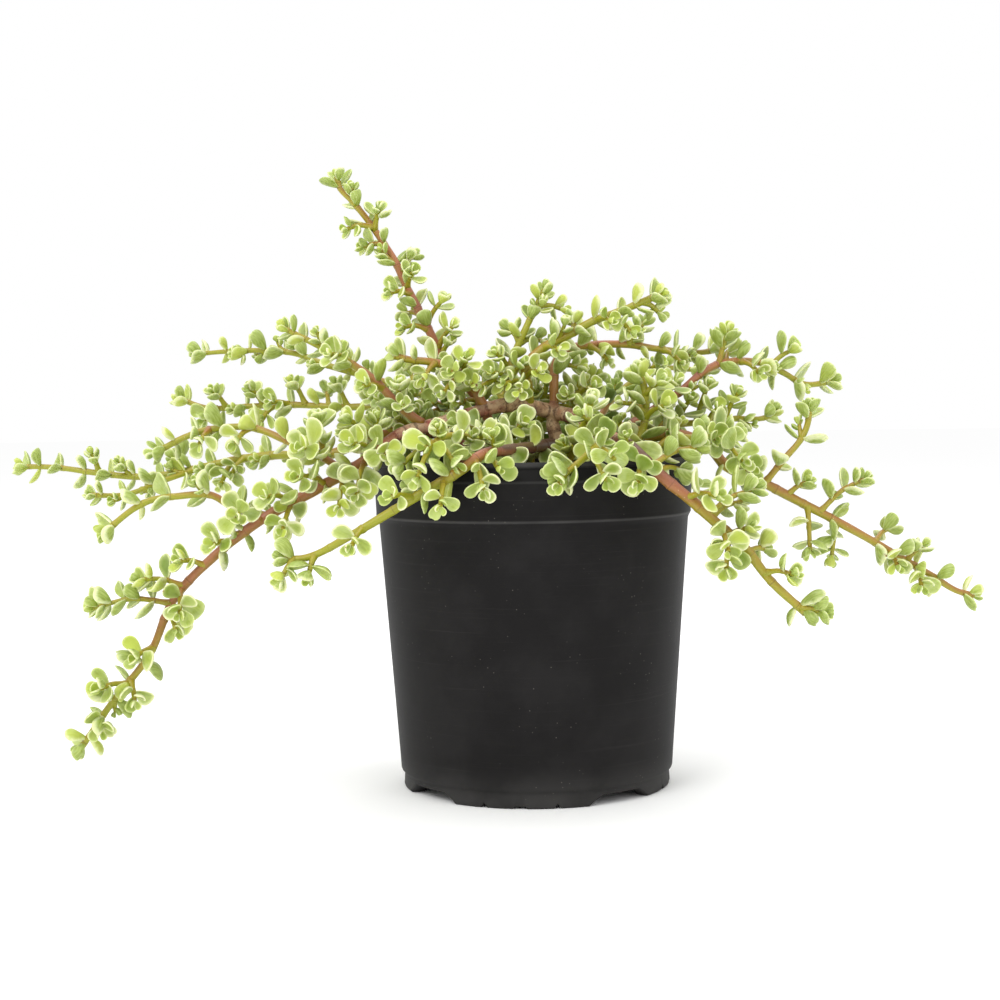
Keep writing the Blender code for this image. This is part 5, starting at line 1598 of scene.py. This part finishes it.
def soil_mesh():
    """The soil: a crumbly top over the plain body that fills the pot."""
    room = [(radius - GAP, height) for radius, height in inner_wall()]
    level = (soil_height(RIM_RADIUS) - BODY_TOP[1]) / (RIM_HEIGHT - BODY_TOP[1])
    edge = room[2][0] + level * (room[3][0] - room[2][0])
    turns = np.arange(SOIL_COLUMNS) * math.tau / SOIL_COLUMNS
    rows = []
    for step in range(1, SOIL_RINGS + 1):
        radius = edge * step / SOIL_RINGS
        row = []
        for turn in turns:
            x, y = radius * math.cos(turn), radius * math.sin(turn)
            large, small = (noise.noise((x * scale, y * scale, seed))
                            for scale, seed in zip(CLUMP_SCALES, (3.0, 7.0)))
            clumps = large + SMALL_CLUMPS * small
            low = 1.0 - (step / SOIL_RINGS) ** SINK_POWER
            row.append((x, y, soil_height(radius) + CLUMP_HEIGHT * clumps * low - WALL_SINK * (1 - low)))
        rows.append(row)
    for radius, height in (room[2], (room[1][0], room[1][1] + GAP), (room[0][0], FLOOR_TOP + GAP)):
        rows.append([(radius * math.cos(turn), radius * math.sin(turn), height) for turn in turns])
    points = [point for row in rows for point in row]
    points += [(0.0, 0.0, soil_height(0)), (0.0, 0.0, FLOOR_TOP + GAP)]
    return make_mesh("soil_top", points, turned_faces(len(rows), SOIL_COLUMNS))


def bits_mesh(draw, feet):
    """Bark chips and grains that lie on the soil, clear of the stems."""
    shape = bmesh.new()
    tones = []
    count = 0
    while count < BIT_COUNT:
        radius = (BAND_RADIUS - WALL - BIT_MARGIN) * math.sqrt(draw.random())
        turn = draw.uniform(0, math.tau)
        size = draw.uniform(*BIT_SIZES_MM) * MM * (SMALL_BITS[1] if draw.random() < SMALL_BITS[0] else 1.0)
        middle = Vector((radius * math.cos(turn), radius * math.sin(turn), soil_height(radius) + 0.2 * size))
        if any((middle.xy - Vector(place[:2])).length < reach + size for place, reach in feet):
            continue
        tone = draw.random()
        stretch = tuple(draw.uniform(*span) for span in BIT_STRETCH)
        if tone > GRAIN_TONE:
            stretch = GRAIN_SHAPE
        matrix = (Matrix.Translation(middle) @ Matrix.Rotation(draw.uniform(0, math.tau), 4, "Z")
                  @ Matrix.Rotation(draw.uniform(-BIT_TILTS[0], BIT_TILTS[0]), 4, "X")
                  @ Matrix.Rotation(draw.uniform(-BIT_TILTS[1], BIT_TILTS[1]), 4, "Y")
                  @ Matrix.Diagonal((*(size * share for share in stretch), 1.0)))
        made = bmesh.ops.create_icosphere(shape, subdivisions=1, radius=1.0)
        for vertex in made["verts"]:
            vertex.co = matrix @ (vertex.co * draw.uniform(*BIT_ROUGH))
            tones.append((tone, 0.0, 0.0))
        count += 1
    mesh = bpy.data.meshes.new("soil_bits")
    shape.to_mesh(mesh)
    shape.free()
    add_layer(mesh, "bit_tone", tones)
    return mesh


def add_camera():
    """The camera that took the photograph, as worked out from the pot's rim and foot."""
    data = bpy.data.cameras.new("camera")
    camera = add_object("camera", data)
    data.sensor_width = SENSOR_WIDTH
    data.lens = FOCAL_PIXELS / PHOTO_PIXELS * data.sensor_width
    aim = math.atan((POT_COLUMN - PHOTO_PIXELS / 2) / FOCAL_PIXELS)
    pitch = math.atan((PHOTO_PIXELS / 2 - HORIZON_ROW) / FOCAL_PIXELS)
    camera.matrix_world = (Matrix.Translation(CAMERA_PLACE) @ Matrix.Rotation(aim, 4, "Z")
                           @ Matrix.Rotation(math.pi / 2 - pitch, 4, "X")
                           @ Matrix.Rotation(CAMERA_ROLL, 4, "Z"))
    bpy.context.scene.camera = camera


def add_softbox(name, place, size, power):
    """A round soft light that faces the plant's middle."""
    data = bpy.data.lights.new(name, "AREA")
    data.shape = "DISK"
    data.size = size
    data.energy = power
    light = add_object(name, data)
    light.location = place
    light.rotation_euler = (Vector(LIGHT_AIM) - Vector(place)).to_track_quat("-Z", "Y").to_euler()


def add_stage():
    """A plain pale floor, an even pale surround and soft lights from above and both sides."""
    mesh = bpy.data.meshes.new("floor")
    shape = bmesh.new()
    bmesh.ops.create_circle(shape, cap_ends=True, segments=96, radius=FLOOR_RADIUS)
    shape.to_mesh(mesh)
    shape.free()
    floor = add_object("floor", mesh)
    floor.location.z = -FLOOR_DROP
    pale = Shade("floor", Base_Color=(0.98, 0.98, 0.98, 1.0), Roughness=1.0, Specular_IOR_Level=0.0)
    mesh.materials.append(pale.material)

    world = bpy.data.worlds.new("surround")
    world.use_nodes = True
    inputs = world.node_tree.nodes["Background"].inputs
    inputs["Color"].default_value = (1.0, 1.0, 1.0, 1.0)
    inputs["Strength"].default_value = WORLD_LIGHT
    bpy.context.scene.world = world
    bpy.context.scene.view_settings.view_transform = "Standard"
    for light in SOFT_LIGHTS:
        add_softbox(*light)


def grow_more(grown, crowd):
    """The side shoots that only the fine plant has, added to their stems and to the crowd."""
    added = []
    for name, ends in MORE_SHOOTS.items():
        parents = [axis for axis in grown[name] if axis.kind != "shoot"]
        for end in ends:
            axis = grow_shoot(name, parents, metres(end), parents[0].leaf)
            crowd.add(*tube_shell(axis, STALK_ROOM), owner=axis)
            grown[name].append(axis)
            added.append(axis)
    return added


def grow_buds(grown, axes, crowd):
    """Small rosettes on short shoots in the axils of leaves, where there is room for them."""
    added = []
    for number, axis in enumerate(axes):
        if axis.kind == "shoot":
            continue
        draw = random.Random(f"{axis.stem} buds {number}")
        for site in leaf_sites(axis, number):
            chance = draw.random()
            reach = axis_radius(axis, site.place) + draw.uniform(*BUD_REACH_MM) * MM
            leaf = draw.uniform(*BUD_LEAF_MM) * MM
            if chance > BUD_SHARE or site.place > axis.route.length - BUD_LAST:
                continue
            point, heading = axis.route.at(site.place + BUD_STEP)
            outward = spoke(cross_axes(heading), math.radians(site.turn))
            away = heading * math.cos(BUD_LEAN) + outward * math.sin(BUD_LEAN)
            tip = point + (away + Vector((0, 0, UP_LEAN))) * reach
            bud = Axis(axis.stem, "shoot", Route([point, point + away * 0.5 * reach, tip]), 0.0,
                       in_metres(BUD_GIRTH_MM), (leaf, leaf), (leaf, leaf), reach)
            shell = tube_shell(bud, BUD_ROOM)
            if crowd.is_clear(*shell, axis):
                crowd.add(*shell, owner=bud)
                grown[axis.stem].append(bud)
                added.append(bud)
    return added


def dress():
    """Every piece of the object, on the frame's nodes."""
    trunk = frame["nodes"]["trunk"].data
    bark = BVHTree.FromPolygons([vertex.co for vertex in trunk.vertices],
                                [face.vertices for face in trunk.polygons])
    wood = trunk_axes()
    grown = {name: grow_axes(name, stem, bark) for name, stem in STEMS.items()}
    axes = [axis for group in grown.values() for axis in group]
    crowd = start_crowd(wood + axes)
    leaves = grow_leaves(axes, crowd, 0)
    count = len(axes)
    axes += grow_more(grown, crowd)
    axes += grow_buds(grown, axes[:count], crowd)
    leaves += grow_leaves(axes, crowd, 1) + grow_leaves(axes, crowd, 0, count)

    templates = leaf_template(*LARGE_LEAF), leaf_template(*SMALL_LEAF)
    skin, stalk = leaf_material(), stalk_material()
    for name, group in grown.items():
        own = [leaf for leaf in leaves if leaf.site.axis.stem == name]
        places = [node_places(axis, axes.index(axis)) for axis in group]
        put_piece(f"{name}_stalk", stalk_mesh(f"{name}_stalk", group, places), stalk, "green_stalk", name)
        put_piece(f"{name}_leaves", leaves_mesh(f"{name}_leaves", own, *templates), skin,
                  "variegated_leaf", name)

    put_piece("trunk_bark", wood_mesh(wood), bark_material(), "bark", "trunk")
    put_piece("pot_shell", pot_mesh(), plastic_material(), "black_plastic", "pot")
    draw = random.Random("soil")
    put_piece("soil_top", soil_mesh(), soil_material(), "potting_soil", "soil")
    standing = [(stem.route[0], stem.girth[0] * MM) for stem in STEMS.values() if stem.seat == "soil"]
    standing.append((TRUNK_ROUTE_MM[0], TRUNK_GIRTH_MM[0] * MM))
    feet = [((x * MM, y * MM), radius) for (x, y), radius in standing]
    put_piece("soil_bits", bits_mesh(draw, feet), chip_material(), "potting_soil")


dress()
add_camera()
add_stage()
